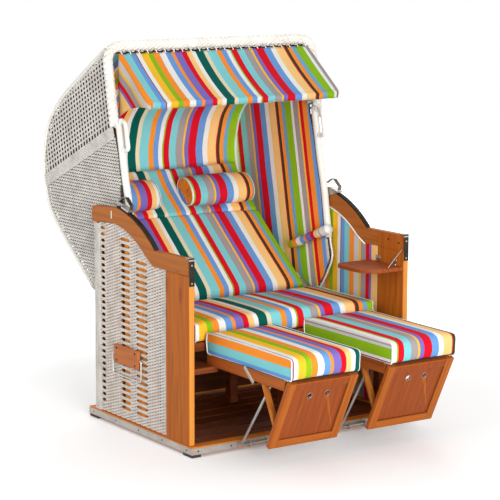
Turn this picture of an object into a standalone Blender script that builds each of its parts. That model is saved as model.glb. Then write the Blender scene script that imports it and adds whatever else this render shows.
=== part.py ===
"""Hooded two-seat beach chair with pull-out footrests. Metres, +Z up, the front faces -Y."""
from math import asin, cos, pi, radians, sin, tan

import bmesh
import bpy
from mathutils import Matrix, Vector

# Overall sizes and the clearances between pieces
BASE_WIDE = 1.12
SIDE_DEEP = 0.80
SIDE_THICK = 0.028
FIT = 0.0003
EASE = 0.0005
PANEL_GAP = 0.0065

# Sill frame, floor and glides
SILL_REACH = 0.04
SILL_WIDE = 0.05
SILL_HIGH = 0.033
GLIDE_HIGH = 0.012
GLIDE_WIDE = 0.046
GLIDE_LONG = 0.07
FLOOR_THICK = 0.014
SLAT_WIDE = 0.075
SLAT_SPACE = 0.016
SLAT_END = 0.035

# Side walls
POST_FRONT = 0.02
POST_WIDE = 0.18
WALL_SETBACK = 0.01
RAIL_WIDE = 0.068
RAIL_FRONT = 0.025
RAIL_NOSE_TOP = 0.818
RAIL_TAIL_TOP = 0.94
LINING_THICK = 0.0057
LATTICE_THICK = 0.007
LADDER_PITCH = 0.027
LADDER_HOLE = 0.0145
LADDER_START = 0.09
LADDER_TOP_MARGIN = 0.035
LADDER_SHARES = ((0.443, 0.549), (0.615, 0.711))
LATTICE_SLOT = 0.03
LATTICE_SLOT_SHARES = (0.34, 0.46, 0.58, 0.71, 0.92)
REAR_THICK = 0.014
REAR_HIGH = 0.39
BOARD_EDGE = 0.003

# Pivot of the hood and the toothed arc that it clamps to
PIVOT_SETBACK = 0.14
PIVOT_Z = 0.41
PIVOT_RADIUS = 0.008
ARC_RADIUS = 0.548
ARC_FIRST = 6.6
ARC_LAST = 42.4
ARC_STEPS = 8
TOOTH_COUNT = 22
TOOTH_HIGH = 0.003
STRIP_THICK = 0.004
STRIP_WIDE = 0.020

# Seat
SEAT_TOP = 0.443
SEAT_FRONT = 0.128
SEAT_SETBACK = 0.085
SEAT_BOARD_THICK = 0.012
SEAT_RAIL_HIGH = 0.035
SEAT_RAIL_THICK = 0.022
LEG_WIDE = 0.040
RUNNER_THICK = 0.024
RUNNER_FRONT = 0.055
SEAT_CUSHION_MARGIN = 0.044
SEAT_CUSHION_SHORT = 0.017
SEAT_CUSHION_HIGH = 0.086

# Carrying handles
HANDLE_PLATE_LONG = 0.20
HANDLE_PLATE_HIGH = 0.08
HANDLE_PLATE_THICK = 0.014
HANDLE_PLATE_SHARE = 0.625
HANDLE_PLATE_Z = 0.33
BAIL_ROD = 0.004
BAIL_DROP = 0.090
BAIL_OUT = 0.016

# Folding table
TABLE_WIDE = 0.225
TABLE_LONG = 0.24
TABLE_THICK = 0.018
TABLE_FRONT = 0.06
TABLE_TOP = 0.68
TABLE_CORNER = 0.07
STAY_ROD = 0.0022
STAY_SHARE = 0.60
STAY_TOP = 0.735

# Hood: outline points are shares of its height above the pivot
HOOD_HIGH = 1.23
HOOD_THICK = 0.014
HOOD_LINING_THICK = 0.012
FRONT_LINE_SHARES = (
    (-0.0431, 0.0577), (-0.0927, 0.1244), (-0.1293, 0.1967), (-0.1187, 0.2496),
    (-0.0862, 0.4472), (-0.0602, 0.5480), (-0.0415, 0.6390), (-0.0228, 0.7268),
    (0.0024, 0.8593), (0.0268, 0.9911),
)
BACK_LINE_SHARES = (
    (0.0325, 1.0), (0.2724, 0.8569), (0.3846, 0.7846), (0.4780, 0.6967), (0.5106, 0.6203),
    (0.5252, 0.5455), (0.5154, 0.4724), (0.4878, 0.3829), (0.4130, 0.3073),
    (0.3033, 0.2236), (0.1593, 0.1179),
)
POST_COUNT = 8
POST_RADIUS = 0.016
RIM_RADIUS = 0.022
RIM_OUT = 0.005
RIM_BEND = 0.07
ROOF_START = 0.050
EAR_RADIUS = 0.030
HOOD_RAIL_WIDE = 0.040
HOOD_RAIL_THICK = 0.018
GRIP_ROD = 0.009
GRIP_OUT = 0.036
GRIP_BEND = 0.0252
GRIP_SHARES = (0.640, 0.735)

# Clamps that hold the hood on the toothed arcs
CLAMP_THICK = 0.003
CLAMP_FROM = 2.0
CLAMP_TO = 16.5
CLAMP_SHOE_FROM = 10.5
CLAMP_LIFT = 0.0055
CLAMP_SHOE_THICK = 0.009
CLAMP_DEEP = 0.040
LEVER_WIDE = 0.018
LEVER_LONG = 0.085
LEVER_THICK = 0.0035
LEVER_RISE = 0.024
LEVER_KNEE_SHARE = 0.45

# Soft pieces on the hood
BACK_TILT = 39.0
BACK_CUSHION_MARGIN = 0.049
BACK_CUSHION_LONG = 0.70
BACK_CUSHION_THICK = 0.0915
BACK_START = 0.20
BACK_SEAM = 0.5
SEWN_CREASE = 0.55
PILLOW_INSET = 0.01
PILLOW_HIGH = 0.14
PILLOW_THICK = 0.108
PILLOW_SPACE = 0.08
PILLOW_SHARE = 0.83
PILLOW_SETTLE = 0.0068
ARM_PAD_RADIUS = 0.021
ARM_PAD_SHARES = ((0.098, 0.215), (-0.142, 0.308))

# Awning
AWNING_REACH = 0.2548
AWNING_RISE = 19.5
AWNING_HINGE_SHARES = (0.0175, 0.7358)
AWNING_ROD = 0.007
AWNING_MARGIN = 0.020
AWNING_BEND = 0.03
CLOTH_THICK = 0.003
CLOTH_LIFT = 0.010
CLOTH_SAG = 0.010
CLOTH_DROP = 0.024
CLOTH_TOP_SHARES = (0.0187, 0.965)
SCALLOP_COUNT = 12
SCALLOP_DEEP = 0.006

# Footrests
FOOTREST_WIDE = 0.3355
FOOTREST_CENTRE_SHARE = 0.4774
FOOTREST_OUT = 0.489
FOOTREST_LEFT_EXTRA = 0.0
FOOTREST_RIGHT_EXTRA = 0.023
FOOTREST_TOP = 0.399
FOOTREST_RAIL_HIGH = 0.044
FOOTREST_RAIL_WIDE = 0.022
FOOTREST_TAIL = 0.10
FRONT_PANEL_HIGH = 0.320
FRONT_PANEL_THICK = 0.020
FRONT_PANEL_STILE = 0.040
FRONT_PANEL_RECESS = 0.005
FRONT_PANEL_TILT = 26.3
FINGER_RADIUS = 0.0125
FINGER_SPACE = 0.085
FINGER_DROP = 0.075
FOOT_CUSHION_HIGH = 0.094
FOOT_CUSHION_WIDE = 0.3295
FOOT_CUSHION_OVER = 0.009
FOOT_CUSHION_LONG = 0.6015
COVER_SHRINK = 0.0016
BRACE_DOWN = 0.225
BRACE_LONG = 0.1755
BRACE_THICK = 0.014
BRACE_WIDE = 0.022
BRACE_TILT = 27.0
BRACE_INSET = 0.012
BRACE_ROD = 0.005
BOW_ROD = 0.006
BOW_HALF = 0.084
BOW_Y = -0.026
BOW_Z = 0.030
BOW_LONG = 0.400
BOW_ATTACH = 0.2262
BOW_BEND = 0.02
HANGER_THICK = 0.004

# Values worked out from the sizes above
BASE_HALF = BASE_WIDE / 2
WALL_INSIDE = BASE_HALF - SIDE_THICK
FRAME_DEEP = SIDE_DEEP + SILL_REACH
WALL_REAR = SIDE_DEEP - WALL_SETBACK
PIVOT_Y = SIDE_DEEP - PIVOT_SETBACK
SEAT_REAR = PIVOT_Y - SEAT_SETBACK
SEAT_CUSHION_DEEP = SEAT_REAR - SEAT_FRONT - SEAT_CUSHION_SHORT
HANDLE_PLATE_Y = SIDE_DEEP * HANDLE_PLATE_SHARE
SILL_BASE = GLIDE_HIGH + FIT
SILL_TOP = SILL_BASE + SILL_HIGH
WALL_BASE = SILL_TOP + FIT
HOOD_HALF = WALL_INSIDE - PANEL_GAP
HOOD_INSIDE = HOOD_HALF - HOOD_THICK
LINING_FACE = HOOD_INSIDE - EASE - HOOD_LINING_THICK
POST_X = HOOD_HALF - POST_RADIUS
RIM_X = HOOD_HALF + RIM_OUT
SEAT_CUSHION_WIDE = 2 * (WALL_INSIDE - SEAT_CUSHION_MARGIN)
BACK_CUSHION_WIDE = 2 * (LINING_FACE - BACK_CUSHION_MARGIN)
PILLOW_LONG = (BACK_CUSHION_WIDE - PILLOW_SPACE) / 2 - PILLOW_INSET
AWNING_WIDE = 2 * (LINING_FACE - AWNING_MARGIN)
FOOTREST_CENTRE = WALL_INSIDE * FOOTREST_CENTRE_SHARE
REAR_MOST = PIVOT_Y + HOOD_HIGH * max(share[0] for share in BACK_LINE_SHARES)
FRONT_MOST = FOOTREST_OUT + FOOT_CUSHION_OVER - COVER_SHRINK
OVERRUN = 0.02


def start_scene():
    """Clears the scene and returns the part's collection, the cutters' collection and the origin."""
    for obj in list(bpy.data.objects):
        bpy.data.objects.remove(obj, do_unlink=True)
    chair = bpy.data.collections.new("hooded_beach_chair")
    cutters = bpy.data.collections.new("cutters")
    for group in (chair, cutters):
        bpy.context.scene.collection.children.link(group)
    cutters.hide_render = True
    origin = bpy.data.objects.new("origin", None)
    origin.location.y = (FRONT_MOST - REAR_MOST) / 2
    chair.objects.link(origin)
    return chair, cutters, origin


CHAIR, CUTTERS, ORIGIN = start_scene()


def finish(name, colour, roughness, metallic=0.0):
    material = bpy.data.materials.new(name)
    material.use_nodes = True
    shader = material.node_tree.nodes["Principled BSDF"]
    shader.inputs["Base Color"].default_value = (*colour, 1)
    shader.inputs["Roughness"].default_value = roughness
    shader.inputs["Metallic"].default_value = metallic
    return material


WOOD = finish("oiled wood", (0.44, 0.12, 0.016), 0.45)
DARK_WOOD = finish("shaded wood", (0.30, 0.07, 0.01), 0.5)
WICKER = finish("white weave", (0.80, 0.78, 0.74), 0.45)
STRIPES = finish("striped cloth", (0.80, 0.28, 0.10), 0.9)
STEEL = finish("steel", (0.45, 0.44, 0.43), 0.3, 1.0)
DARK_STEEL = finish("dark steel", (0.10, 0.10, 0.10), 0.4, 1.0)
RUBBER = finish("black plastic", (0.02, 0.02, 0.02), 0.6)

ACROSS = (pi / 2, 0, pi / 2)


def joint_empty(name, place, parent=None):
    """An empty on a joint's axis. Its pieces are parented to it and are given in the chair's own frame."""
    empty = bpy.data.objects.new(name, None)
    CHAIR.objects.link(empty)
    empty.parent = parent or ORIGIN
    middle = empty.parent.get("place", (0, 0, 0))
    empty.location = Vector(place) - Vector(middle)
    empty["place"] = place
    return empty


def add(obj, material, parent=None, place=(0, 0, 0), turn=(0, 0, 0)):
    """Puts an object in the part at a place in the chair's frame, carried by an empty."""
    CHAIR.objects.link(obj)
    obj.data.materials.clear()
    obj.data.materials.append(material)
    obj.parent = parent or ORIGIN
    obj.location = Vector(place) - Vector(obj.parent.get("place", (0, 0, 0)))
    obj.rotation_euler = turn
    return obj


def helper(obj):
    """Takes an object out of the part, as a cutter or as a shape to be joined on."""
    for group in list(obj.users_collection):
        group.objects.unlink(obj)
    CUTTERS.objects.link(obj)
    obj.hide_render = True
    obj.display_type = "WIRE"
    return obj


def combine(obj, others, operation="UNION"):
    for other in others:
        boolean = obj.modifiers.new(operation.lower(), "BOOLEAN")
        boolean.operation = operation
        boolean.solver = "EXACT"
        boolean.object = helper(other)
    return obj


def as_mesh(obj):
    """The curve object as a mesh object of the same name, place and parent, with its caps welded on."""
    bpy.context.view_layer.update()
    graph = bpy.context.evaluated_depsgraph_get()
    mesh = bpy.data.meshes.new_from_object(obj.evaluated_get(graph))
    bm = bmesh.new()
    bm.from_mesh(mesh)
    bmesh.ops.remove_doubles(bm, verts=bm.verts, dist=FIT / 10)
    bmesh.ops.recalc_face_normals(bm, faces=bm.faces)
    bm.to_mesh(mesh)
    bm.free()
    name, parent, matrix, material = obj.name, obj.parent, obj.matrix_world.copy(), obj.data.materials[0]
    bpy.data.objects.remove(obj, do_unlink=True)
    made = bpy.data.objects.new(name, mesh)
    CHAIR.objects.link(made)
    mesh.materials.clear()
    mesh.materials.append(material)
    made.parent = parent
    made.matrix_world = matrix
    return made


def from_bmesh(name, bm, material, parent=None, place=(0, 0, 0), turn=(0, 0, 0)):
    mesh = bpy.data.meshes.new(name)
    bm.to_mesh(mesh)
    bm.free()
    return add(bpy.data.objects.new(name, mesh), material, parent, place, turn)


def board(name, low, high, material, parent=None, edge=BOARD_EDGE):
    """A board between two corners, its edges eased."""
    low, high = Vector(low), Vector(high)
    bm = bmesh.new()
    bmesh.ops.create_cube(bm, size=1)
    bmesh.ops.scale(bm, vec=high - low, verts=bm.verts)
    obj = from_bmesh(name, bm, material, parent, (low + high) / 2)
    if edge:
        bevel = obj.modifiers.new("eased edges", "BEVEL")
        bevel.width = edge
        bevel.segments = 1
    return obj


def plate(name, outline, thick, material, parent=None, place=(0, 0, 0), turn=(0, 0, 0), holes=()):
    """A flat outline with its holes, made this thick about the plane that it is drawn in."""
    curve = bpy.data.curves.new(name, "CURVE")
    curve.dimensions = "2D"
    curve.fill_mode = "BOTH"
    curve.extrude = thick / 2
    for ring in (outline, *holes):
        spline = curve.splines.new("POLY")
        spline.points.add(len(ring) - 1)
        for point, (a, b) in zip(spline.points, ring):
            point.co = (a, b, 0, 1)
        spline.use_cyclic_u = True
    return add(bpy.data.objects.new(name, curve), material, parent, place, turn)


def side_plate(name, outline, x_low, x_high, material, parent=None, holes=()):
    """A plate drawn in Y and Z that fills the space between two distances along X."""
    carrier = parent or ORIGIN
    middle = Vector(carrier.get("place", (0, 0, 0)))
    outline = [(y - middle.y, z - middle.z) for y, z in outline]
    holes = [[(y - middle.y, z - middle.z) for y, z in ring] for ring in holes]
    place = ((x_low + x_high) / 2, middle.y, middle.z)
    return plate(name, outline, abs(x_high - x_low), material, parent, place, ACROSS, holes)


def rod(name, points, radius, material, parent=None, resolution=2):
    """A round bar along the points, given in the chair's frame."""
    curve = bpy.data.curves.new(name, "CURVE")
    curve.dimensions = "3D"
    curve.bevel_depth = radius
    curve.bevel_resolution = resolution
    curve.use_fill_caps = True
    spline = curve.splines.new("POLY")
    spline.points.add(len(points) - 1)
    middle = Vector((parent or ORIGIN).get("place", (0, 0, 0)))
    for point, place in zip(spline.points, points):
        point.co = (*(Vector(place) - middle), 1)
    return add(bpy.data.objects.new(name, curve), material, parent, middle)


def bent(points, radius, steps=3):
    """The points with each inner corner rounded to this radius."""
    points = [Vector(point) for point in points]
    path = [points[0]]
    for before, corner, after in zip(points, points[1:], points[2:]):
        back, ahead = (before - corner).normalized(), (after - corner).normalized()
        half = back.angle(ahead) / 2
        reach = min(radius / max(abs(sin(half) / cos(half)), FIT), (before - corner).length / 2)
        reach = min(reach, (after - corner).length / 2)
        start, end = corner + back * reach, corner + ahead * reach
        for step in range(steps + 1):
            share = step / steps
            path.append(start.lerp(corner, share).lerp(corner.lerp(end, share), share))
    path.append(points[-1])
    return path


def ring(centre, radius, count=12, first=0.0, last=360.0):
    """Points round a circle, or along an arc of it, with angles from +Y towards +Z."""
    whole = last - first >= 360
    steps = count if whole else count - 1
    angles = [radians(first + (last - first) * k / steps) for k in range(count)]
    return [(centre[0] + radius * cos(a), centre[1] + radius * sin(a)) for a in angles]


def smooth(points, steps=2):
    """A smooth curve through the points."""
    points = [Vector(point) for point in points]
    ends = [2 * points[0] - points[1], *points, 2 * points[-1] - points[-2]]
    curve = []
    for a, b, c, d in zip(ends, ends[1:], ends[2:], ends[3:]):
        for step in range(steps):
            t = step / steps
            bend = (2 * a - 5 * b + 4 * c - d) * t * t + (3 * b - a - 3 * c + d) * t ** 3
            curve.append(b + ((c - a) * t + bend) / 2)
    return curve + [points[-1]]


def offset(line, distance):
    """The line moved sideways, to the right of its direction where the distance is positive."""
    moved = []
    for k, point in enumerate(line):
        before, after = line[max(k - 1, 0)], line[min(k + 1, len(line) - 1)]
        along = (Vector(after) - Vector(before)).normalized()
        moved.append(Vector((point[0] + along.y * distance, point[1] - along.x * distance)))
    return moved


def after_length(line, length):
    """The line without its first stretch of this length."""
    for k, (a, b) in enumerate(zip(line, line[1:])):
        step = (b - a).length
        if step > length:
            return [a.lerp(b, length / step), *line[k + 1:]]
        length -= step
    return line[-1:]


def height_at(line, y):
    """The height of a line that runs along Y, at this place."""
    for a, b in zip(line, line[1:]):
        if min(a[0], b[0]) <= y <= max(a[0], b[0]) and a[0] != b[0]:
            return a[1] + (b[1] - a[1]) * (y - a[0]) / (b[0] - a[0])
    return line[-1][1]


def between(line, low, high):
    """The part of a line between two places along Y, from the low end to the high one."""
    line = sorted((tuple(point) for point in line), key=lambda point: point[0])
    inner = [point for point in line if low < point[0] < high]
    return [(low, height_at(line, low)), *inner, (high, height_at(line, high))]


def hood_point(share):
    return Vector((PIVOT_Y + share[0] * HOOD_HIGH, PIVOT_Z + share[1] * HOOD_HIGH))


def arc_point(radius, degrees):
    """A point at this distance from the hood's pivot, leaning forward from the upright."""
    return Vector((PIVOT_Y - radius * sin(radians(degrees)), PIVOT_Z + radius * cos(radians(degrees))))


def cushion(name, size, cuts, material, parent=None, place=(0, 0, 0), turn=(0, 0, 0),
            crown=0.06, draw=0.03, seams=(), level=1):
    """A boxed cushion: crowned top, sides drawn in between the corners, seams sewn across it.

    Size is its length along X, Y and Z, with Z its thickness and its underside at zero.
    """
    bm = bmesh.new()
    bmesh.ops.create_cube(bm, size=2)
    for axis, count in enumerate(cuts):
        for k in range(1, count):
            normal = Vector((axis == 0, axis == 1, axis == 2))
            every = bm.verts[:] + bm.edges[:] + bm.faces[:]
            bmesh.ops.bisect_plane(bm, geom=every, plane_co=normal * (2 * k / count - 1), plane_no=normal)
    half = Vector(size) / 2
    narrow = min(size[0], size[1])
    for vert in bm.verts:
        u, v, w = vert.co
        belly = (1 - u * u) * (1 - v * v)
        middle = 1 - w * w
        pull = draw * narrow
        x = half.x * u - pull * u * (1 - v * v) * (1 - middle / 2)
        y = half.y * v - pull * v * (1 - u * u) * (1 - middle / 2)
        sewn = any(abs(v - seam) < 1 / cuts[1] for seam in seams)
        z = half.z * (w + 1)
        if w > 0:
            z -= size[2] * (crown * (1 - belly) + (crown * 3 if sewn else 0)) * w
        vert.co = (x, y, z)
    crease = bm.edges.layers.float.new("crease_edge")
    for edge in bm.edges:
        if edge.is_boundary or len(edge.link_faces) == 2 and edge.calc_face_angle(0) > 1:
            edge[crease] = SEWN_CREASE
    cover = from_bmesh(name, bm, material, parent, place, turn)
    surface = cover.modifiers.new("cover", "SUBSURF")
    surface.levels = level
    surface.render_levels = level
    cover.data.shade_smooth()
    return cover


def base_frame():
    """The sill frame that everything stands on, the slatted floor in it and the four glides."""
    half, inside = BASE_HALF, BASE_HALF - SILL_WIDE
    outer = [(-half, 0), (half, 0), (half, FRAME_DEEP), (-half, FRAME_DEEP)]
    hole = [(-inside, SILL_WIDE), (inside, SILL_WIDE), (inside, FRAME_DEEP - SILL_WIDE),
            (-inside, FRAME_DEEP - SILL_WIDE)]
    middle = SILL_BASE + SILL_HIGH / 2
    plate("base_frame", outer, SILL_HIGH, WOOD, place=(0, 0, middle), holes=[hole])
    inside -= FIT
    front, rear = SILL_WIDE + FIT, FRAME_DEEP - SILL_WIDE - FIT
    count = int((rear - front) / (SLAT_WIDE + SLAT_SPACE))
    pitch = (rear - front + SLAT_SPACE) / count
    slots = []
    for k in range(1, count):
        y = front + pitch * k
        end = inside - SLAT_END
        slots.append([(-end, y - SLAT_SPACE), (end, y - SLAT_SPACE), (end, y), (-end, y)])
    floor = [(-inside, front), (inside, front), (inside, rear), (-inside, rear)]
    plate("floor_slats", floor, FLOOR_THICK, DARK_WOOD, place=(0, 0, middle), holes=slots)
    for side, x in (("left", -1), ("right", 1)):
        for end, y in (("front", GLIDE_LONG / 2), ("rear", FRAME_DEEP - GLIDE_LONG / 2)):
            centre = Vector((x * (half - GLIDE_WIDE / 2), y, GLIDE_HIGH / 2))
            reach = Vector((GLIDE_WIDE, GLIDE_LONG, GLIDE_HIGH)) / 2
            board(f"glide_{end}_{side}", centre - reach, centre + reach, RUBBER, edge=GLIDE_HIGH / 5)


def rail_top_line():
    """The upper edge of an arm rail, from its tail over the toothed arc to its nose."""
    steps = range(ARC_STEPS + 1)
    arc = [arc_point(ARC_RADIUS, ARC_FIRST + (ARC_LAST - ARC_FIRST) * k / ARC_STEPS) for k in steps]
    return [Vector((SIDE_DEEP, RAIL_TAIL_TOP)), *arc, Vector((RAIL_FRONT, RAIL_NOSE_TOP))]


def side_wall(side, x):
    """One side of the base: front board, arm rail, woven panel, lattice behind it and the inner lining."""
    def wall_plate(name, outline, inner, outer, material, holes=()):
        return side_plate(f"{name}_{side}", outline, x * inner, x * outer, material, holes=holes)

    top = rail_top_line()
    under = offset(top, -RAIL_WIDE)
    under = [Vector((SIDE_DEEP, under[0].y)), *under[1:-1], Vector((RAIL_FRONT, under[-1].y))]
    wall_plate("arm_rail", top + under[::-1], WALL_INSIDE, BASE_HALF, WOOD)
    post_rear = POST_FRONT + POST_WIDE
    post_top = min(height_at(under, POST_FRONT + RAIL_FRONT), height_at(under, post_rear)) - FIT
    low = (min(x * WALL_INSIDE, x * BASE_HALF), POST_FRONT, WALL_BASE)
    board(f"front_board_{side}", low, (low[0] + SIDE_THICK, post_rear, post_top), WOOD)
    roof = [(y, z - FIT) for y, z in between(under, post_rear + FIT, WALL_REAR)]
    field = [(WALL_REAR, WALL_BASE), (post_rear + FIT, WALL_BASE), *roof]
    rungs = []
    for first, last in LADDER_SHARES:
        near, far = first * SIDE_DEEP, last * SIDE_DEEP
        roof_low = min(height_at(roof, near), height_at(roof, far)) - LADDER_TOP_MARGIN
        for k in range(int((roof_low - LADDER_START) / LADDER_PITCH) + 1):
            z = LADDER_START + k * LADDER_PITCH
            rungs.append([(near, z), (far, z), (far, z + LADDER_HOLE), (near, z + LADDER_HOLE)])
    lattice_inside = WALL_INSIDE + LINING_THICK + FIT
    weave_inside = lattice_inside + LATTICE_THICK + FIT
    wall_plate("side_weave", field, weave_inside, BASE_HALF, WICKER, rungs)
    bore = ring((PIVOT_Y, PIVOT_Z), PIVOT_RADIUS + EASE)
    slots = [bore]
    for share in LATTICE_SLOT_SHARES:
        near = share * SIDE_DEEP - LATTICE_SLOT / 2
        far = near + LATTICE_SLOT
        z = min(height_at(roof, near), height_at(roof, far)) - RAIL_WIDE
        slots.append([(near, LADDER_START), (far, LADDER_START), (far, z), (near, z)])
    wall_plate("side_lattice", field, lattice_inside, weave_inside - FIT, DARK_WOOD, slots)
    wall_plate("side_lining", field, WALL_INSIDE, lattice_inside - FIT, STRIPES, [bore])


def arm_strips(side, x):
    """The toothed steel strip let on to the arc of an arm rail."""
    inner = ARC_RADIUS + FIT
    plain = inner + STRIP_THICK
    steps = range(ARC_STEPS + 1)
    lower = [arc_point(inner, ARC_FIRST + (ARC_LAST - ARC_FIRST) * k / ARC_STEPS) for k in steps]
    teeth = []
    for k in range(TOOTH_COUNT + 1):
        angle = ARC_FIRST + (ARC_LAST - ARC_FIRST) * k / TOOTH_COUNT
        teeth.append(arc_point(plain, angle))
        if k < TOOTH_COUNT:
            teeth.append(arc_point(plain + TOOTH_HIGH, angle))
    middle = x * (BASE_HALF - SIDE_THICK / 2)
    half = STRIP_WIDE / 2
    side_plate(f"toothed_strip_{side}", lower + teeth[::-1], middle - half, middle + half, DARK_STEEL)


def handle(side, x):
    """The wooden handle plate on a side wall and the steel bail that hangs from its ends."""
    inner, outer = BASE_HALF + FIT, BASE_HALF + FIT + HANDLE_PLATE_THICK
    low_y = HANDLE_PLATE_Y - HANDLE_PLATE_LONG / 2
    low_z = HANDLE_PLATE_Z - HANDLE_PLATE_HIGH / 2
    low = (min(x * inner, x * outer), low_y, low_z)
    high = (low[0] + HANDLE_PLATE_THICK, low_y + HANDLE_PLATE_LONG, low_z + HANDLE_PLATE_HIGH)
    board(f"handle_plate_{side}", low, high, WOOD)
    axis_x = x * (inner + HANDLE_PLATE_THICK / 2)
    hinge = joint_empty(f"bail_axis_{side}", (axis_x, HANDLE_PLATE_Y, HANDLE_PLATE_Z))
    near = HANDLE_PLATE_LONG / 2 + FIT
    far = near + BAIL_OUT
    route = [(-near, 0), (-far, 0), (-far, -BAIL_DROP), (far, -BAIL_DROP), (far, 0), (near, 0)]
    points = [(axis_x, HANDLE_PLATE_Y + y, HANDLE_PLATE_Z + z) for y, z in route]
    rod(f"carry_bail_{side}", bent(points, BAIL_OUT), BAIL_ROD, STEEL, hinge)


def seat():
    """The seat frame with its legs and the runners for the footrests, the seat board and the cushion."""
    half = WALL_INSIDE - EASE
    rail_low = SEAT_TOP - SEAT_RAIL_HIGH
    bearer_top = SEAT_TOP - SEAT_BOARD_THICK - FIT
    board_front = SEAT_FRONT + SEAT_RAIL_THICK
    frame = board("seat_frame", (-half, SEAT_FRONT, rail_low), (half, board_front, SEAT_TOP), WOOD)
    frame.modifiers.clear()
    rear = SEAT_REAR - SEAT_RAIL_THICK
    extra = [((-half, rear, rail_low), (half, SEAT_REAR, bearer_top))]
    rail_inside = FOOTREST_CENTRE + FOOTREST_WIDE / 2 - FOOTREST_RAIL_WIDE - EASE
    runner_top = FOOTREST_TOP - FOOTREST_RAIL_HIGH - FIT
    leg_rear = SEAT_REAR - LEG_WIDE
    middle_half = FOOTREST_CENTRE - FOOTREST_WIDE / 2 + FOOTREST_RAIL_WIDE
    runners = [(-half, -rail_inside), (-middle_half, middle_half), (rail_inside, half)]
    legs = [(-half, LEG_WIDE - half), (-LEG_WIDE / 2, LEG_WIDE / 2), (half - LEG_WIDE, half)]
    for (run_low, run_high), (leg_low, leg_high) in zip(runners, legs):
        extra.append(((run_low, RUNNER_FRONT, runner_top - RUNNER_THICK), (run_high, SEAT_REAR, runner_top)))
        for y in (SEAT_FRONT, leg_rear):
            extra.append(((leg_low, y, WALL_BASE), (leg_high, y + LEG_WIDE, bearer_top - FIT)))
    combine(frame, [board(f"seat_frame_{k}", low, high, WOOD, edge=0) for k, (low, high) in enumerate(extra)])
    board("seat_board", (-half, board_front + FIT, bearer_top + FIT), (half, SEAT_REAR, SEAT_TOP), WOOD, edge=0)
    size = (SEAT_CUSHION_WIDE, SEAT_CUSHION_DEEP, SEAT_CUSHION_HIGH)
    place = (0, SEAT_FRONT + SEAT_CUSHION_DEEP / 2, SEAT_TOP + FIT)
    cushion("seat_cushion", size, (8, 4, 2), STRIPES, place=place, crown=0.10, draw=0.02)


def rear_wall():
    half = WALL_INSIDE - EASE
    low = (-half, WALL_REAR - REAR_THICK, WALL_BASE)
    board("rear_weave", low, (half, WALL_REAR, WALL_BASE + REAR_HIGH), WICKER, edge=BOARD_EDGE)


def table():
    """The folding table on the right wall and the wire that holds its free corner."""
    hinge_x = WALL_INSIDE - EASE
    hinge = joint_empty("table_axis", (hinge_x, TABLE_FRONT, TABLE_TOP))
    rear = TABLE_FRONT + TABLE_LONG
    free = hinge_x - TABLE_WIDE
    corners = [ring((free + TABLE_CORNER, TABLE_FRONT + TABLE_CORNER), TABLE_CORNER, 6, 180, 270),
               [(hinge_x, TABLE_FRONT), (hinge_x, rear)],
               ring((free + TABLE_CORNER / 3, rear - TABLE_CORNER / 3), TABLE_CORNER / 3, 4, 90, 180)]
    outline = [(a - hinge_x, b - TABLE_FRONT) for corner in corners for a, b in corner]
    plate("table_board", outline, TABLE_THICK, WOOD, hinge, (hinge_x, TABLE_FRONT, TABLE_TOP - TABLE_THICK / 2))
    foot = (hinge_x - TABLE_WIDE * STAY_SHARE, TABLE_FRONT + TABLE_CORNER / 2, TABLE_TOP + FIT + STAY_ROD)
    rod("table_stay", [(hinge_x - STAY_ROD, TABLE_FRONT, STAY_TOP), foot], STAY_ROD, STEEL, resolution=1)


def hood_lines():
    """The hood's front and back edges, and the front edge of its woven sides behind posts and rim."""
    front = [hood_point(share) for share in FRONT_LINE_SHARES]
    back = smooth([hood_point(share) for share in BACK_LINE_SHARES])
    behind_post = offset(front, 2 * POST_RADIUS + EASE)
    behind_rim = offset(front, 2 * RIM_RADIUS + EASE)
    inner = behind_post[:POST_COUNT - 1] + behind_rim[POST_COUNT - 1:]
    return front, back, inner


def hood_shell(hood):
    """The woven sides, back and roof, the bound border round the opening and the lower cross rail."""
    front, back, inner = hood_lines()
    roof = after_length(back, ROOF_START)
    ear = ring((PIVOT_Y, PIVOT_Z), EAR_RADIUS, 6, 180, 315)
    bore = ring((PIVOT_Y, PIVOT_Z), PIVOT_RADIUS + EASE)
    for side, x in (("left", -1), ("right", 1)):
        side_plate(f"hood_side_{side}", inner + roof + ear[::-1], x * HOOD_INSIDE, x * HOOD_HALF,
                   WICKER, hood, [bore])
    band = HOOD_INSIDE - EASE
    wall = offset(roof, HOOD_THICK)
    side_plate("hood_back", roof + wall[::-1], -band, band, WICKER, hood)
    lower = (roof[-1] - roof[-2]).normalized()
    square = Vector((lower.y, -lower.x))
    start = roof[-1] + lower * EASE
    rail = [start, start + lower * HOOD_RAIL_WIDE]
    rail += [point + square * HOOD_RAIL_THICK for point in rail[::-1]]
    side_plate("hood_rail", rail, -band, band, WOOD, hood)
    face = offset(roof, HOOD_THICK + EASE)
    skin = offset(roof, HOOD_THICK + EASE + HOOD_LINING_THICK)
    lining = as_mesh(side_plate("hood_lining", face + skin[::-1], -band, band, STRIPES, hood))
    seam = offset(roof, HOOD_THICK + EASE + HOOD_LINING_THICK / 2)
    cheeks = []
    for side, x in (("left", -1), ("right", 1)):
        outline = inner[1:-1] + seam
        cheek = side_plate(f"hood_cheek_{side}", outline, x * LINING_FACE, x * (band - EASE), STRIPES, hood)
        cheeks.append(as_mesh(cheek))
    combine(lining, cheeks)


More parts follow.
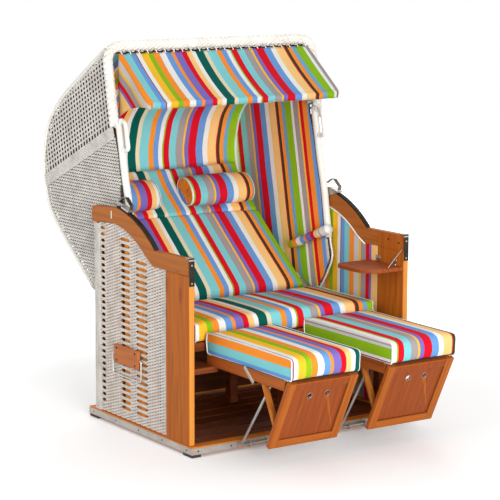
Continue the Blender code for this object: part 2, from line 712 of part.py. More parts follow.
def hood_border(hood):
    """The two smooth posts up the front edges, and the thicker braided rim over the top, as one frame."""
    front, _, _ = hood_lines()
    post_line = offset(front, POST_RADIUS)[:POST_COUNT]
    rim_line = offset(front, RIM_RADIUS)[POST_COUNT - 1:]
    post_line[0] += (post_line[1] - post_line[0]).normalized() * EAR_RADIUS / 4
    climb = (post_line[-1] - post_line[-2]).normalized()
    post_line[-1] = post_line[-1] + climb * RIM_RADIUS
    arch = [(-RIM_X, y, z) for y, z in rim_line] + [(RIM_X, y, z) for y, z in rim_line[::-1]]
    rim = as_mesh(rod("hood_border", bent(arch, RIM_BEND, 4), RIM_RADIUS, WICKER, hood))
    posts = []
    for side, x in (("left", -1), ("right", 1)):
        points = [(x * POST_X, *point) for point in smooth(post_line)]
        posts.append(as_mesh(rod(f"hood_post_{side}", points, POST_RADIUS, WICKER, hood)))
    combine(rim, posts)


def hood_grips(hood):
    front, _, _ = hood_lines()
    line = [(point.y, point.x) for point in front]
    for side, x in (("left", -1), ("right", 1)):
        low, high = (PIVOT_Z + share * HOOD_HIGH for share in GRIP_SHARES)
        low_y, high_y = (height_at(line, z - GRIP_ROD) - EASE for z in (low, high))
        route = [(low_y, low), (low_y - GRIP_OUT, low), (high_y - GRIP_OUT, high), (high_y, high)]
        points = [(x * POST_X, y, z) for y, z in route]
        rod(f"hood_grip_{side}", bent(points, GRIP_BEND, 4), GRIP_ROD, STEEL, hood)


def pivot_rod():
    """The steel rod through both walls that the hood turns on."""
    reach = WALL_INSIDE + LINING_THICK + LATTICE_THICK
    rod("pivot_rod", [(-reach, PIVOT_Y, PIVOT_Z), (reach, PIVOT_Y, PIVOT_Z)], PIVOT_RADIUS, STEEL, resolution=4)


def clamp(side, x, hood):
    """The shoe that grips the toothed strip, on a bracket from the hood's post, and its lever."""
    under = ARC_RADIUS + FIT + STRIP_THICK + CLAMP_LIFT
    top = under + CLAMP_SHOE_THICK
    inner, outer = HOOD_HALF + EASE, HOOD_HALF + EASE + CLAMP_THICK
    reach = BASE_HALF - CLAMP_THICK
    tabs = [(under - CLAMP_DEEP, CLAMP_FROM), (top, CLAMP_FROM), (top, CLAMP_TO), (under, CLAMP_TO),
            (under - CLAMP_DEEP, (CLAMP_FROM + CLAMP_TO) / 2)]
    bracket = [arc_point(radius, angle) for radius, angle in tabs]
    shoe = [arc_point(radius, angle) for radius, angle in
            ((under, CLAMP_SHOE_FROM), (top, CLAMP_SHOE_FROM), (top, CLAMP_TO), (under, CLAMP_TO))]
    body = as_mesh(side_plate(f"clamp_{side}", bracket, x * inner, x * outer, STEEL, hood))
    foot = side_plate(f"clamp_shoe_{side}", shoe, x * (inner + EASE), x * reach, STEEL, hood)
    combine(body, [as_mesh(foot)])
    start = arc_point(top + EASE + LEVER_THICK / 2, CLAMP_TO)
    back = (arc_point(top, CLAMP_SHOE_FROM) - arc_point(top, CLAMP_TO)).normalized()
    rise = Vector((-back.y, back.x))
    x_middle = x * (inner + reach) / 2
    axis = joint_empty(f"lever_axis_{side}", (x_middle, *start), hood)
    knee = start + back * LEVER_LONG * LEVER_KNEE_SHARE
    tip = start + back * LEVER_LONG + rise * LEVER_RISE
    line = [start, knee, tip]
    strap = offset(line, LEVER_THICK / 2) + offset(line, -LEVER_THICK / 2)[::-1]
    half = LEVER_WIDE / 2
    side_plate(f"clamp_lever_{side}", strap, x_middle - half, x_middle + half, STEEL, axis)


def hood_padding(hood):
    """The back cushion, the two head pillows that lie on it and the padded armrests."""
    _, back, _ = hood_lines()
    skin = offset(back, HOOD_THICK + EASE + HOOD_LINING_THICK)
    tilt = radians(BACK_TILT)
    along = Vector((cos(tilt), sin(tilt)))
    up = Vector((-along.y, along.x))
    seat_point = skin[-1] + up * EASE
    start = seat_point - along * BACK_START
    centre = start + along * BACK_CUSHION_LONG / 2
    size = (BACK_CUSHION_WIDE, BACK_CUSHION_LONG, BACK_CUSHION_THICK)
    cushion("back_cushion", size, (6, 8, 2), STRIPES, hood, (0, *centre), (tilt, 0, 0),
            crown=0.08, draw=0.02, seams=(BACK_SEAM,))
    rest = start + along * BACK_CUSHION_LONG * PILLOW_SHARE + up * (BACK_CUSHION_THICK + EASE - PILLOW_SETTLE)
    for side, x in (("left", -1), ("right", 1)):
        middle = x * (PILLOW_SPACE + PILLOW_LONG) / 2
        size = (PILLOW_LONG, PILLOW_HIGH, PILLOW_THICK)
        cushion(f"head_pillow_{side}", size, (4, 4, 4), STRIPES, hood, (middle, *rest), (tilt, 0, 0),
                crown=0.10, draw=0.05)
    for side, x in (("left", -1), ("right", 1)):
        ends = [hood_point(share) for share in ARM_PAD_SHARES]
        line = smooth([ends[0], (ends[0] + ends[1]) / 2, ends[1]], 2)
        points = [(x * (POST_X - POST_RADIUS - EASE - ARM_PAD_RADIUS), *point) for point in line]
        rod(f"arm_pad_{side}", points, ARM_PAD_RADIUS, STRIPES, hood, resolution=3)


def awning(hood):
    """The steel bow hinged inside the hood and the cloth stretched from it to the rim."""
    hinge_y, hinge_z = hood_point(AWNING_HINGE_SHARES)
    axis = joint_empty("awning_axis", (0, hinge_y, hinge_z), hood)
    reach = Vector((-cos(radians(AWNING_RISE)), sin(radians(AWNING_RISE)))) * AWNING_REACH
    front = Vector((hinge_y, hinge_z)) + reach
    half = AWNING_WIDE / 2
    face = LINING_FACE - EASE
    points = [(-face, hinge_y, hinge_z), (-half, hinge_y, hinge_z), (-half, *front), (half, *front),
              (half, hinge_y, hinge_z), (face, hinge_y, hinge_z)]
    rod("awning_bow", bent(points, AWNING_BEND), AWNING_ROD, STEEL, axis)
    top = hood_point(CLOTH_TOP_SHARES)
    slope = (front - top).normalized()
    outward = Vector((slope.y, -slope.x))
    if outward.y < 0:
        outward = -outward
    edge_half = half + AWNING_ROD + CLOTH_THICK
    bm = bmesh.new()
    bmesh.ops.create_grid(bm, x_segments=SCALLOP_COUNT, y_segments=5, size=1)
    low = front + outward * CLOTH_LIFT + slope * AWNING_ROD
    for vert in bm.verts:
        u, v = vert.co.x, (vert.co.y + 1) / 2
        wave = SCALLOP_DEEP * (round((u + 1) * SCALLOP_COUNT / 2) % 2) * (v > 1 - FIT)
        spot = low.lerp(top, v) - outward * CLOTH_SAG * 4 * v * (1 - v) * (1 - u ** 4) + slope * wave
        vert.co = (u * edge_half, *spot)
    rim = [edge for edge in bm.edges if edge.is_boundary]
    far = max(vert.co.z for vert in bm.verts) - SCALLOP_DEEP - FIT
    rim = [edge for edge in rim if min(vert.co.z for vert in edge.verts) < far]
    skirt = bmesh.ops.extrude_edge_only(bm, edges=rim)["geom"]
    arm_slope = reach.y / reach.x
    hem = low.y - CLOTH_DROP
    for vert in (item for item in skirt if isinstance(item, bmesh.types.BMVert)):
        share = (vert.co.z - low.y) / (top.y - low.y)
        over_arm = hinge_z + (vert.co.y - hinge_y) * arm_slope + 2 * AWNING_ROD
        vert.co.z = min(hem + (over_arm - hem) * share, vert.co.z - CLOTH_DROP)
    cloth = from_bmesh("awning_cloth", bm, STRIPES, hood)
    cloth.location = -Vector(hood["place"])
    wall = cloth.modifiers.new("cloth", "SOLIDIFY")
    wall.thickness = CLOTH_THICK
    wall.offset = 0


def footrest(side, x, pushed_in):
    """One footrest: sliding frame, framed front panel with finger holes, brace, support bow and cushion."""
    front = pushed_in - FOOTREST_OUT
    middle = x * FOOTREST_CENTRE
    half = FOOTREST_WIDE / 2
    top, under = FOOTREST_TOP, FOOTREST_TOP - FOOTREST_RAIL_HIGH
    slide = joint_empty(f"slide_{side}", (middle, front, top))
    tail = pushed_in + FOOTREST_TAIL
    tilt = radians(FRONT_PANEL_TILT)
    hinge_z = top - FRONT_PANEL_THICK / 2
    hinge_y = front + FRONT_PANEL_THICK / 2
    frame_front = hinge_y + (hinge_z - under) * tan(tilt) + FRONT_PANEL_THICK / 2 / cos(tilt) + EASE
    rails = [((-half, frame_front, under), (FOOTREST_RAIL_WIDE - half, tail, top)),
             ((half - FOOTREST_RAIL_WIDE, frame_front, under), (half, tail, top)),
             ((-half, frame_front, under), (half, frame_front + FOOTREST_RAIL_WIDE, top)),
             ((-half, tail - FOOTREST_RAIL_WIDE, under), (half, tail, top))]
    rails = [((middle + a[0], *a[1:]), (middle + b[0], *b[1:])) for a, b in rails]
    boards = [board(f"footrest_rail_{side}_{k}", a, b, WOOD, slide, 0) for k, (a, b) in enumerate(rails)]
    boards[0].name = f"footrest_frame_{side}"
    combine(boards[0], boards[1:])
    size = (FOOT_CUSHION_WIDE, FOOT_CUSHION_LONG, FOOT_CUSHION_HIGH)
    place = (middle, front - FOOT_CUSHION_OVER + FOOT_CUSHION_LONG / 2, top + FIT)
    cushion(f"footrest_cushion_{side}", size, (4, 6, 2), STRIPES, slide, place, crown=0.05, draw=0.02)

    axis = joint_empty(f"panel_axis_{side}", (middle, hinge_y, hinge_z), slide)
    bm = bmesh.new()
    bmesh.ops.create_cube(bm, size=1)
    bmesh.ops.scale(bm, vec=(FOOTREST_WIDE, FRONT_PANEL_THICK, FRONT_PANEL_HIGH), verts=bm.verts)
    bmesh.ops.translate(bm, vec=(0, 0, -FRONT_PANEL_HIGH / 2 - EASE), verts=bm.verts)
    for face in [face for face in bm.faces if abs(face.normal.y) > abs(face.normal.x) + abs(face.normal.z)]:
        bmesh.ops.inset_region(bm, faces=[face], thickness=FRONT_PANEL_STILE, depth=0)
        bmesh.ops.translate(bm, vec=-face.normal * FRONT_PANEL_RECESS, verts=face.verts)
    panel = from_bmesh(f"footrest_panel_{side}", bm, WOOD, axis, (middle, hinge_y, hinge_z), (tilt, 0, 0))
    bores = []
    for k in (-1, 1):
        bm = bmesh.new()
        bmesh.ops.create_cone(bm, cap_ends=True, segments=12, radius1=FINGER_RADIUS, radius2=FINGER_RADIUS,
                              depth=FRONT_PANEL_THICK + 2 * OVERRUN)
        bmesh.ops.rotate(bm, cent=(0, 0, 0), matrix=Matrix.Rotation(pi / 2, 3, "X"), verts=bm.verts)
        bmesh.ops.translate(bm, vec=(k * FINGER_SPACE / 2, 0, -FINGER_DROP), verts=bm.verts)
        bores.append(from_bmesh(f"finger_bore_{side}_{k}", bm, WOOD, axis, (middle, hinge_y, hinge_z), (tilt, 0, 0)))
    combine(panel, bores, "DIFFERENCE")

    down = Vector((sin(tilt), -cos(tilt)))
    back = Vector((cos(tilt), sin(tilt)))
    stand_off = FRONT_PANEL_THICK / 2 + BRACE_THICK / 2 + EASE
    foot = Vector((hinge_y, hinge_z)) + down * BRACE_DOWN + back * stand_off
    lean = radians(BRACE_TILT)
    climb = Vector((sin(lean), cos(lean)))
    brace_axis = joint_empty(f"brace_axis_{side}", (middle, *foot), axis)
    head = foot + climb * BRACE_LONG
    square = Vector((climb.y, -climb.x)) * BRACE_THICK / 2
    lath = [foot - square, foot - climb * BRACE_THICK / 3, foot + square, head + square, head - square]
    near = half - BRACE_INSET - BRACE_WIDE
    laths = []
    for k in (-1, 1):
        edges = (middle + k * near, middle + k * (near + BRACE_WIDE))
        laths.append(side_plate(f"footrest_lath_{side}_{k}", lath, min(edges), max(edges), WOOD, brace_axis))
    laths = [as_mesh(piece) for piece in laths]
    dowel = rod(f"brace_dowel_{side}", [(middle - near - BRACE_WIDE / 2, *foot),
                (middle + near + BRACE_WIDE / 2, *foot)], BRACE_ROD, WOOD, brace_axis)
    laths[0].name = f"footrest_brace_{side}"
    combine(laths[0], [laths[1], as_mesh(dowel)])

    bow_axis = joint_empty(f"bow_axis_{side}", (middle, BOW_Y, BOW_Z))
    head_y = front + BOW_ATTACH
    head_z = BOW_Z + BOW_LONG * cos(asin((BOW_Y - head_y) / BOW_LONG))
    points = [(middle - BOW_HALF, head_y, head_z), (middle - BOW_HALF, BOW_Y, BOW_Z),
              (middle + BOW_HALF, BOW_Y, BOW_Z), (middle + BOW_HALF, head_y, head_z)]
    rod(f"footrest_bow_{side}", bent(points, BOW_BEND), BOW_ROD, STEEL, bow_axis)


def bow_hanger():
    """The steel strip on the front sill with the eyes that the support bows turn in."""
    half = FOOTREST_CENTRE + BOW_HALF
    low, high = BOW_Z - BOW_ROD * 2, BOW_Z + BOW_ROD * 2
    strip = board("bow_hanger", (-half, -HANGER_THICK - FIT, low), (half, -FIT, high), STEEL, edge=0)
    eyes = []
    for side in (-1, 1):
        for k in (-1, 1):
            x = side * FOOTREST_CENTRE + k * BOW_HALF / 2
            front = BOW_Y - BOW_ROD * 2
            outline = [(front, low), (-HANGER_THICK / 2 - FIT, low), (-HANGER_THICK / 2 - FIT, high), (front, high)]
            eye = side_plate(f"hanger_eye_{side}_{k}", outline, x - HANGER_THICK / 2, x + HANGER_THICK / 2,
                             STEEL, holes=[ring((BOW_Y, BOW_Z), BOW_ROD + EASE)])
            eyes.append(as_mesh(eye))
    combine(strip, eyes)


def build():
    hood = joint_empty("hood_axis", (0, PIVOT_Y, PIVOT_Z))
    base_frame()
    for side, x in (("left", -1), ("right", 1)):
        side_wall(side, x)
        arm_strips(side, x)
        handle(side, x)
        clamp(side, x, hood)
    rear_wall()
    seat()
    table()
    pivot_rod()
    hood_shell(hood)
    hood_border(hood)
    hood_grips(hood)
    hood_padding(hood)
    awning(hood)
    bow_hanger()
    footrest("left", -1, FOOTREST_LEFT_EXTRA)
    footrest("right", 1, FOOTREST_RIGHT_EXTRA)


build()
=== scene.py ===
from math import ceil, cos, hypot, pi, radians, sin, tan

import bmesh
import bpy
from mathutils import Matrix, Vector, noise


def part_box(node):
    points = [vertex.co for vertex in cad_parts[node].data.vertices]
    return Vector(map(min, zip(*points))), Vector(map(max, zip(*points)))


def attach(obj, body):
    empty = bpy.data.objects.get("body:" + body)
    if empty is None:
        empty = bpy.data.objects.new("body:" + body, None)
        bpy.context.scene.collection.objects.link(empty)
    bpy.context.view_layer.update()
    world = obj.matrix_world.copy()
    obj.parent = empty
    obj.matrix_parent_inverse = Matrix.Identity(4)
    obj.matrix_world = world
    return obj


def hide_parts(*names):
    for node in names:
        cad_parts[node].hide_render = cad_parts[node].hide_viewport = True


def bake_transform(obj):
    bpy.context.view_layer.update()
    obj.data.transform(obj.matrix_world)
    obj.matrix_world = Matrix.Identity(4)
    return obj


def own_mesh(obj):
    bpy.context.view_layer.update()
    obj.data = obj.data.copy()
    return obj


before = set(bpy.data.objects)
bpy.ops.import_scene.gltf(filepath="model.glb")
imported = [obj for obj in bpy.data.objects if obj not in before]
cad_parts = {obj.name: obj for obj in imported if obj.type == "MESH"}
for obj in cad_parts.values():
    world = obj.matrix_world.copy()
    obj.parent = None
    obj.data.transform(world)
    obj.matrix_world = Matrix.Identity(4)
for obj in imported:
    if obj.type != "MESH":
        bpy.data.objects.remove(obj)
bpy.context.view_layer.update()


def show(made):
    """Puts an object into the scene and gives it back."""
    bpy.context.scene.collection.objects.link(made)
    return made


# Camera at the photograph's viewpoint: low, in front of the chair's left corner, with a long lens.
bpy.context.scene.view_settings.view_transform = "Standard"
camera = show(bpy.data.objects.new("camera", bpy.data.cameras.new("camera")))
camera.data.lens = 142.776
camera.data.sensor_width = 36
right = (0.829322, -0.558766, 0.0024)
up = (0.092333, 0.141275, 0.985655)
back = (-0.551089, -0.817204, 0.168755)
stand = (-4.72005, -6.99165, 2.19331)
camera.matrix_world = Matrix([(*row, place) for *row, place in zip(right, up, back, stand)]).to_4x4()
bpy.context.scene.camera = camera


# Studio: a white floor, a pale world and three large soft lamps, the strongest in front of the opening.
# Colours are written as they are read off a screen, 0 to 255, and turned into light here.
def tint(red, green, blue):
    channels = [channel / 255 for channel in (red, green, blue)]
    return (*[c / 12.92 if c < 0.04045 else ((c + 0.055) / 1.055) ** 2.4 for c in channels], 1)


class Tone:
    """A shader socket that sums can be written on: each operator adds one Math node."""

    def __init__(self, finish, socket):
        self.finish = finish
        self.socket = socket

    def maths(self, operation, *others):
        return self.finish.node("ShaderNodeMath", {"operation": operation}, dict(enumerate((self, *others))))

    def __add__(self, other):
        return self.maths("ADD", other)

    def __mul__(self, other):
        return self.maths("MULTIPLY", other)

    def __sub__(self, other):
        return self.maths("SUBTRACT", other)

    def __rsub__(self, other):
        return self.finish.node("ShaderNodeMath", {"operation": "SUBTRACT"}, {0: other, 1: self})

    def __truediv__(self, other):
        return self.maths("DIVIDE", other)

    def __gt__(self, other):
        return self.maths("GREATER_THAN", other)

    def __lt__(self, other):
        return self.maths("LESS_THAN", other)

    __radd__ = __add__
    __rmul__ = __mul__


class Finish:
    """A material, or the world, whose nodes are added one at a time."""

    def __init__(self, holder, shader="Principled BSDF"):
        holder.use_nodes = True
        self.holder = holder
        self.tree = holder.node_tree
        self.shader = self.tree.nodes[shader]

    def fill(self, node, sockets):
        for key, value in sockets.items():
            if isinstance(value, Tone):
                self.tree.links.new(value.socket, node.inputs[key])
            else:
                node.inputs[key].default_value = value

    def node(self, kind, settings=None, sockets=None, out=0):
        """A new node: its settings first, then values or links for its sockets. Gives one of its outputs."""
        node = self.tree.nodes.new(kind)
        for key, value in (settings or {}).items():
            if key == "stops":
                stops = node.color_ramp.elements
                stops.remove(stops[1])
                stops[0].position, stops[0].color = value[0]
                for position, colour in value[1:]:
                    stops.new(position).color = colour
            elif key == "interpolation":
                node.color_ramp.interpolation = value
            else:
                setattr(node, key, value)
        self.fill(node, sockets or {})
        return Tone(self, node.outputs[out])

    def object_place(self):
        return self.node("ShaderNodeTexCoord", out="Object")

    def noise(self, place, scale, detail=2.0, stretch=(1, 1, 1)):
        lie = self.node("ShaderNodeMapping", {}, {"Vector": place, "Scale": stretch})
        return self.node("ShaderNodeTexNoise", {}, {"Vector": lie, "Scale": scale, "Detail": detail})

    def mix(self, share, first, second):
        return self.node("ShaderNodeMix", {"data_type": "RGBA"}, {0: share, 6: first, 7: second}, out=2)

    def soft_step(self, value, low, high, start=0.0, end=1.0):
        return self.node("ShaderNodeMapRange", {"interpolation_type": "SMOOTHSTEP"},
                         {0: value, 1: low, 2: high, 3: start, 4: end})

    def bump(self, height, distance, strength=1.0):
        sockets = {"Strength": strength, "Distance": distance, "Height": height}
        return self.node("ShaderNodeBump", {}, sockets)

    def seen(self):
        """1 where the floor or world is looked at, straight or in metal, and 0 where it lights things."""
        rays = ("Camera", "Glossy", "Transmission")
        paths = [self.node("ShaderNodeLightPath", out=f"Is {ray} Ray") for ray in rays]
        return paths[0].maths("MAXIMUM", paths[1]).maths("MAXIMUM", paths[2])


world = Finish(bpy.data.worlds.new("studio"), "Background")
bpy.context.scene.world = world.holder
world.fill(world.shader, {"Color": (1, 1, 1, 1), "Strength": world.seen() * 0.35 + 0.65})
LAMPS = (((-2.0, -7.1, 1.6), 410, 3.4), ((-6.4, -2.0, 3.2), 80, 3.0), ((3.0, 5.0, 5.0), 110, 4.0))
for spot, power, size in LAMPS:
    lamp = show(bpy.data.objects.new("lamp", bpy.data.lights.new("lamp", "AREA")))
    lamp.data.energy = power
    lamp.data.size = size
    lamp.location = spot
    lamp.rotation_euler = (Vector(spot) - Vector((0, 0, 0.7))).to_track_quat("Z", "Y").to_euler()


def coat(name):
    """A new material."""
    return Finish(bpy.data.materials.new(name))


def piece(name, bm, material, body=None, *nodes, slot=None, smooth=True):
    """Ends a bmesh as an object that rides on a body and may stand for CAD nodes."""
    mesh = bpy.data.meshes.new(name)
    bm.to_mesh(mesh)
    bm.free()
    made = show(bpy.data.objects.new(name, mesh))
    for one in material if isinstance(material, list) else [material]:
        mesh.materials.append(one.holder)
    if smooth:
        mesh.shade_smooth()
    if body:
        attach(made, body)
    if nodes:
        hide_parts(*nodes)
    return made


def closed_piece(name, bm, *rest, **more):
    """A piece whose faces are first all turned to its outside."""
    bmesh.ops.recalc_face_normals(bm, faces=bm.faces)
    return piece(name, bm, *rest, **more)


def grow(bm, faces, way):
    """Extrudes faces along a way. Gives the new corners."""
    grown = bmesh.ops.extrude_face_region(bm, geom=faces)["geom"]
    fresh = [item for item in grown if isinstance(item, bmesh.types.BMVert)]
    bmesh.ops.translate(bm, vec=way, verts=fresh)
    return fresh


def slice_at(bm, place, way):
    """Cuts new edges where a plane through a place crosses the mesh."""
    bmesh.ops.bisect_plane(bm, geom=bm.verts[:] + bm.edges[:] + bm.faces[:], plane_co=place, plane_no=way)


paper = coat("floor paper")
reach = paper.node("ShaderNodeVectorMath", {"operation": "LENGTH"}, {0: paper.object_place()}, out=1)
far_off = paper.soft_step(reach, 1.2, 2.8)
glow = paper.seen() * (far_off * 0.86 + 0.14)
BLACK, PALE, WHITE = (0, 0, 0, 1), (0.7, 0.7, 0.7, 1), (1, 1, 1, 1)
paper.fill(paper.shader, {"Roughness": 0.9, "Specular IOR Level": 0.0, "Emission Strength": 1.0,
                          "Base Color": paper.mix(paper.seen() * (1 - far_off), PALE, WHITE),
                          "Emission Color": paper.mix(glow, BLACK, WHITE)})
floor_sheet = bmesh.new()
bmesh.ops.create_circle(floor_sheet, cap_ends=True, segments=96, radius=14)
piece("floor", floor_sheet, paper)

# Oiled softwood: sill frame, boards, rails, slats, handle plates, table and footrests are sawn boards,
# planed, eased at the edges, stained orange brown and oiled. The grain runs along each board.
OILED, OILED_DARK = tint(190, 104, 24), tint(144, 68, 10)
RAIL, RAIL_DARK = tint(184, 108, 42), tint(152, 82, 26)
SHADED, SHADED_DARK = tint(140, 70, 26), tint(92, 40, 14)
HONEY, HONEY_DARK = tint(226, 138, 46), tint(182, 96, 26)


def wood(name, pale, dark, along, knots=0.6, cross=None, lean=0.0, nosing=None):
    """Stained wood with its grain along an axis; where the cross mask is 1 it runs along X instead, and in
    front of the nosing's place in Y it is paler."""
    finish = coat(name)
    level = finish.node("ShaderNodeMapping", {}, {"Vector": finish.object_place(), "Rotation": (lean, 0, 0)})
    x, y, z = (finish.node("ShaderNodeSeparateXYZ", {}, {0: level}, out=k) for k in range(3))
    run, side = {"x": (x, y), "y": (y, x), "z": (z, x)}[along]
    third = {"x": z, "y": z, "z": y}[along]
    if cross:
        mask = cross(x, y, z)
        run, side = run + mask * (side - run), side + mask * (run - side)
    lie = finish.node("ShaderNodeCombineXYZ", {}, {0: run, 1: side, 2: third})
    drift = finish.noise(lie, 2.2, 3.0, (0.9, 4.0, 4.0))
    rings = ((side + third * 0.6) * 230 + drift * 18 + run * 1.5).maths("SINE") * 0.5 + 0.5
    pores = finish.noise(lie, 1.0, 4.0, (9, 420, 420))
    streaks = finish.noise(lie, 1.0, 4.0, (2.2, 75, 75))
    cell = finish.node("ShaderNodeMapping", {}, {"Vector": lie, "Scale": (3.4, 11, 11)})
    spot = finish.node("ShaderNodeTexVoronoi", {}, {"Vector": cell, "Scale": 1.0})
    knot = finish.soft_step(spot, 0.05, 0.16, 1, 0) * knots
    tone = rings * 0.16 + streaks * 0.7 + pores * 0.3 - knot * 0.8
    colour = finish.mix(finish.soft_step(tone, 0.2, 0.86), dark, pale)
    blotch = finish.noise(lie, 1.0, 2.0, (1.4, 6, 6))
    deep = tuple(channel * 0.78 for channel in pale[:3])
    colour = finish.mix(finish.soft_step(blotch, 0.48, 0.75, 0, 0.35), colour, (*deep, 1))
    if nosing:
        paler_front = finish.mix(streaks, tint(206, 128, 44), tint(244, 170, 78))
        colour = finish.mix((y < nosing) * 0.8, colour, paler_front)
    relief = pores * 0.6 + rings * 0.3 - knot * 0.3
    finish.fill(finish.shader, {"Base Color": colour, "Roughness": 0.44 + pores * 0.2 + rings * 0.06,
                                "Normal": finish.bump(relief, 0.0006, 0.6), "Specular IOR Level": 0.22})
    return finish


def dress(finish, *nodes):
    """Gives CAD nodes that stay in view their finish."""
    for node in nodes:
        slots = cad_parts[node].data.materials
        slots.clear()
        slots.append(finish.holder)


SIDES = (("left", -1), ("right", 1))
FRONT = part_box("base_frame")[0].y
BASE_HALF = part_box("base_frame")[1].x
SILL_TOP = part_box("base_frame")[1].z
SILL_WIDE = 0.05
BOARD_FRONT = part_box("front_board_left")[0].y
sill_wood = wood("sill wood", HONEY, HONEY_DARK, "y", 0.3,
                 lambda x, y, z: x.maths("ABSOLUTE") < BASE_HALF - SILL_WIDE)
board_wood = wood("front board wood", OILED, OILED_DARK, "z", 0.9, nosing=BOARD_FRONT + 0.0004)
rail_wood = wood("arm rail wood", RAIL, RAIL_DARK, "y", 0.2)
slat_wood = wood("floor slat wood", SHADED, SHADED_DARK, "x")
# The lattice wood is paler than the other oiled wood: painted light, making up for the shade it lies in
# behind the weave.
lattice_painted_light_wood = wood("lattice wood with painted light", tint(240, 158, 66), tint(196, 106, 38), "z")
seat_wood = wood("seat frame wood", SHADED, SHADED_DARK, "x")
plate_wood = wood("handle plate wood", tint(196, 116, 62), tint(164, 86, 40), "y", 0.1)
dress(sill_wood, "base_frame")
dress(slat_wood, "floor_slats")
dress(seat_wood, "seat_frame", "seat_board")
dress(rail_wood, "hood_rail")
for side, x in SIDES:
    dress(board_wood, f"front_board_{side}")
    dress(rail_wood, f"arm_rail_{side}")
    dress(lattice_painted_light_wood, f"side_lattice_{side}")
    dress(plate_wood, f"handle_plate_{side}")

# Glides: four blocks of black moulded plastic, nailed under the sill's corners. They keep the wood off the
# ground.
glide_plastic = coat("glide plastic")
grit = glide_plastic.noise(glide_plastic.object_place(), 260, 3.0)
colour = glide_plastic.mix(grit, tint(26, 26, 27), tint(46, 46, 47))
glide_plastic.fill(glide_plastic.shader, {"Base Color": colour, "Roughness": 0.5 + grit * 0.2,
                                          "Normal": glide_plastic.bump(grit, 0.0004, 0.4)})
dress(glide_plastic, *[f"glide_{end}_{side}" for end in ("front", "rear") for side, x in SIDES])


# Metal fittings: an edging strip of bare aluminium is screwed round the foot of the sill, and steel
# straps cap the front of the arm rails. Screws are countersunk cross heads.
def metal(name, pale, dark, rough, along="y"):
    """Bare metal, brushed along an axis, with small scratches and a dull bloom."""
    finish = coat(name)
    place = finish.object_place()
    stretch = [300.0, 300.0, 300.0]
    stretch["xyz".index(along)] = 8.0
    brushed = finish.noise(place, 1.0, 3.0, stretch)
    bloom = finish.noise(place, 22.0, 3.0)
    finish.fill(finish.shader, {"Base Color": finish.mix(bloom, dark, pale), "Metallic": 1.0,
                                "Roughness": rough + brushed * 0.18 + bloom * 0.12,
                                "Normal": finish.bump(brushed, 0.0002, 0.4)})
    return finish


aluminium = metal("edging aluminium", tint(206, 202, 196), tint(158, 152, 146), 0.3)
steel = metal("strap steel", tint(196, 192, 188), tint(138, 132, 126), 0.24)
bright_steel = metal("stainless steel", tint(226, 224, 220), tint(170, 166, 160), 0.12, "x")
dark_steel = metal("toothed strip steel", tint(72, 66, 60), tint(36, 33, 30), 0.36)


def ease_edges(bm, edges, width, steps):
    bmesh.ops.bevel(bm, geom=edges, offset=width, segments=steps, profile=0.5, affect="EDGES", material=-1)


def block(bm, low, high, ease=0.0):
    """A box between two corners, in any order along X, its edges eased, added to the bmesh."""
    ends = sorted((low[0], high[0]))
    low, high = Vector((ends[0], *low[1:])), Vector((ends[1], *high[1:]))
    made = bmesh.ops.create_cube(bm, size=1)["verts"]
    bmesh.ops.scale(bm, vec=high - low, verts=made)
    bmesh.ops.translate(bm, vec=(low + high) / 2, verts=made)
    if ease:
        ease_edges(bm, list({edge for vert in made for edge in vert.link_edges}), ease, 2)


def screws(name, places, facing, body, finish=None, radius=0.0042):
    """Screw heads, each a low dome with a cross cut into it, facing one way."""
    turn = Vector(facing).to_track_quat("Z", "Y").to_matrix().to_4x4()
    bm = bmesh.new()
    for spot in places:
        head = bmesh.ops.create_cone(bm, cap_ends=True, segments=16, radius1=radius, radius2=radius * 0.82,
                                     depth=radius * 0.4)["verts"]
        faces = {face for vert in head for face in vert.link_faces}
        cap = max(faces, key=lambda face: face.calc_center_median().z)
        inner = bmesh.ops.inset_region(bm, faces=[cap], thickness=radius * 0.3)["faces"]
        bmesh.ops.translate(bm, vec=(0, 0, radius * 0.12), verts=cap.verts)
        dip = bmesh.ops.inset_region(bm, faces=[cap], thickness=radius * 0.28)
        bmesh.ops.translate(bm, vec=(0, 0, -radius * 0.3), verts=cap.verts)
        head = {vert for face in inner + dip["faces"] + [cap] for vert in face.verts} | set(head)
        bmesh.ops.transform(bm, matrix=Matrix.Translation(spot) @ turn, verts=list(head))
    return piece(name, bm, finish or dark_steel, body)


EDGE_LOW, EDGE_HIGH, EDGE_THICK, EDGE_EASE = 0.0135, 0.040, 0.0016, 0.0006
SILL_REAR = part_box("base_frame")[1].y
edging = bmesh.new()
hanger_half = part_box("bow_hanger")[1].x + 0.001
for side, x in SIDES:
    block(edging, (x * BASE_HALF, FRONT - EDGE_THICK, EDGE_LOW),
          (x * (BASE_HALF + EDGE_THICK), SILL_REAR + EDGE_THICK, EDGE_HIGH), EDGE_EASE)
    block(edging, (x * hanger_half, FRONT - EDGE_THICK, EDGE_LOW),
          (x * BASE_HALF, FRONT, EDGE_HIGH), EDGE_EASE)
block(edging, (-BASE_HALF, SILL_REAR, EDGE_LOW), (BASE_HALF, SILL_REAR + EDGE_THICK, EDGE_HIGH), EDGE_EASE)
piece("sill_edging", edging, aluminium, "root", smooth=False)
edge_z = (EDGE_LOW + EDGE_HIGH) / 2
for side, x in SIDES:
    rows = [FRONT + 0.04 + k * 0.19 for k in range(5)]
    heads = [(x * (BASE_HALF + EDGE_THICK), y, edge_z) for y in rows]
    screws(f"edging_screws_{side}", heads, (x, 0, 0), "root")
heads = [(x * reach, FRONT - EDGE_THICK, edge_z) for reach in (0.37, 0.53) for x in (-1, 1)]
screws("edging_screws_front", heads, (0, -1, 0), "root")
dress(aluminium, "bow_hanger")
dress(dark_steel, "toothed_strip_left", "toothed_strip_right")

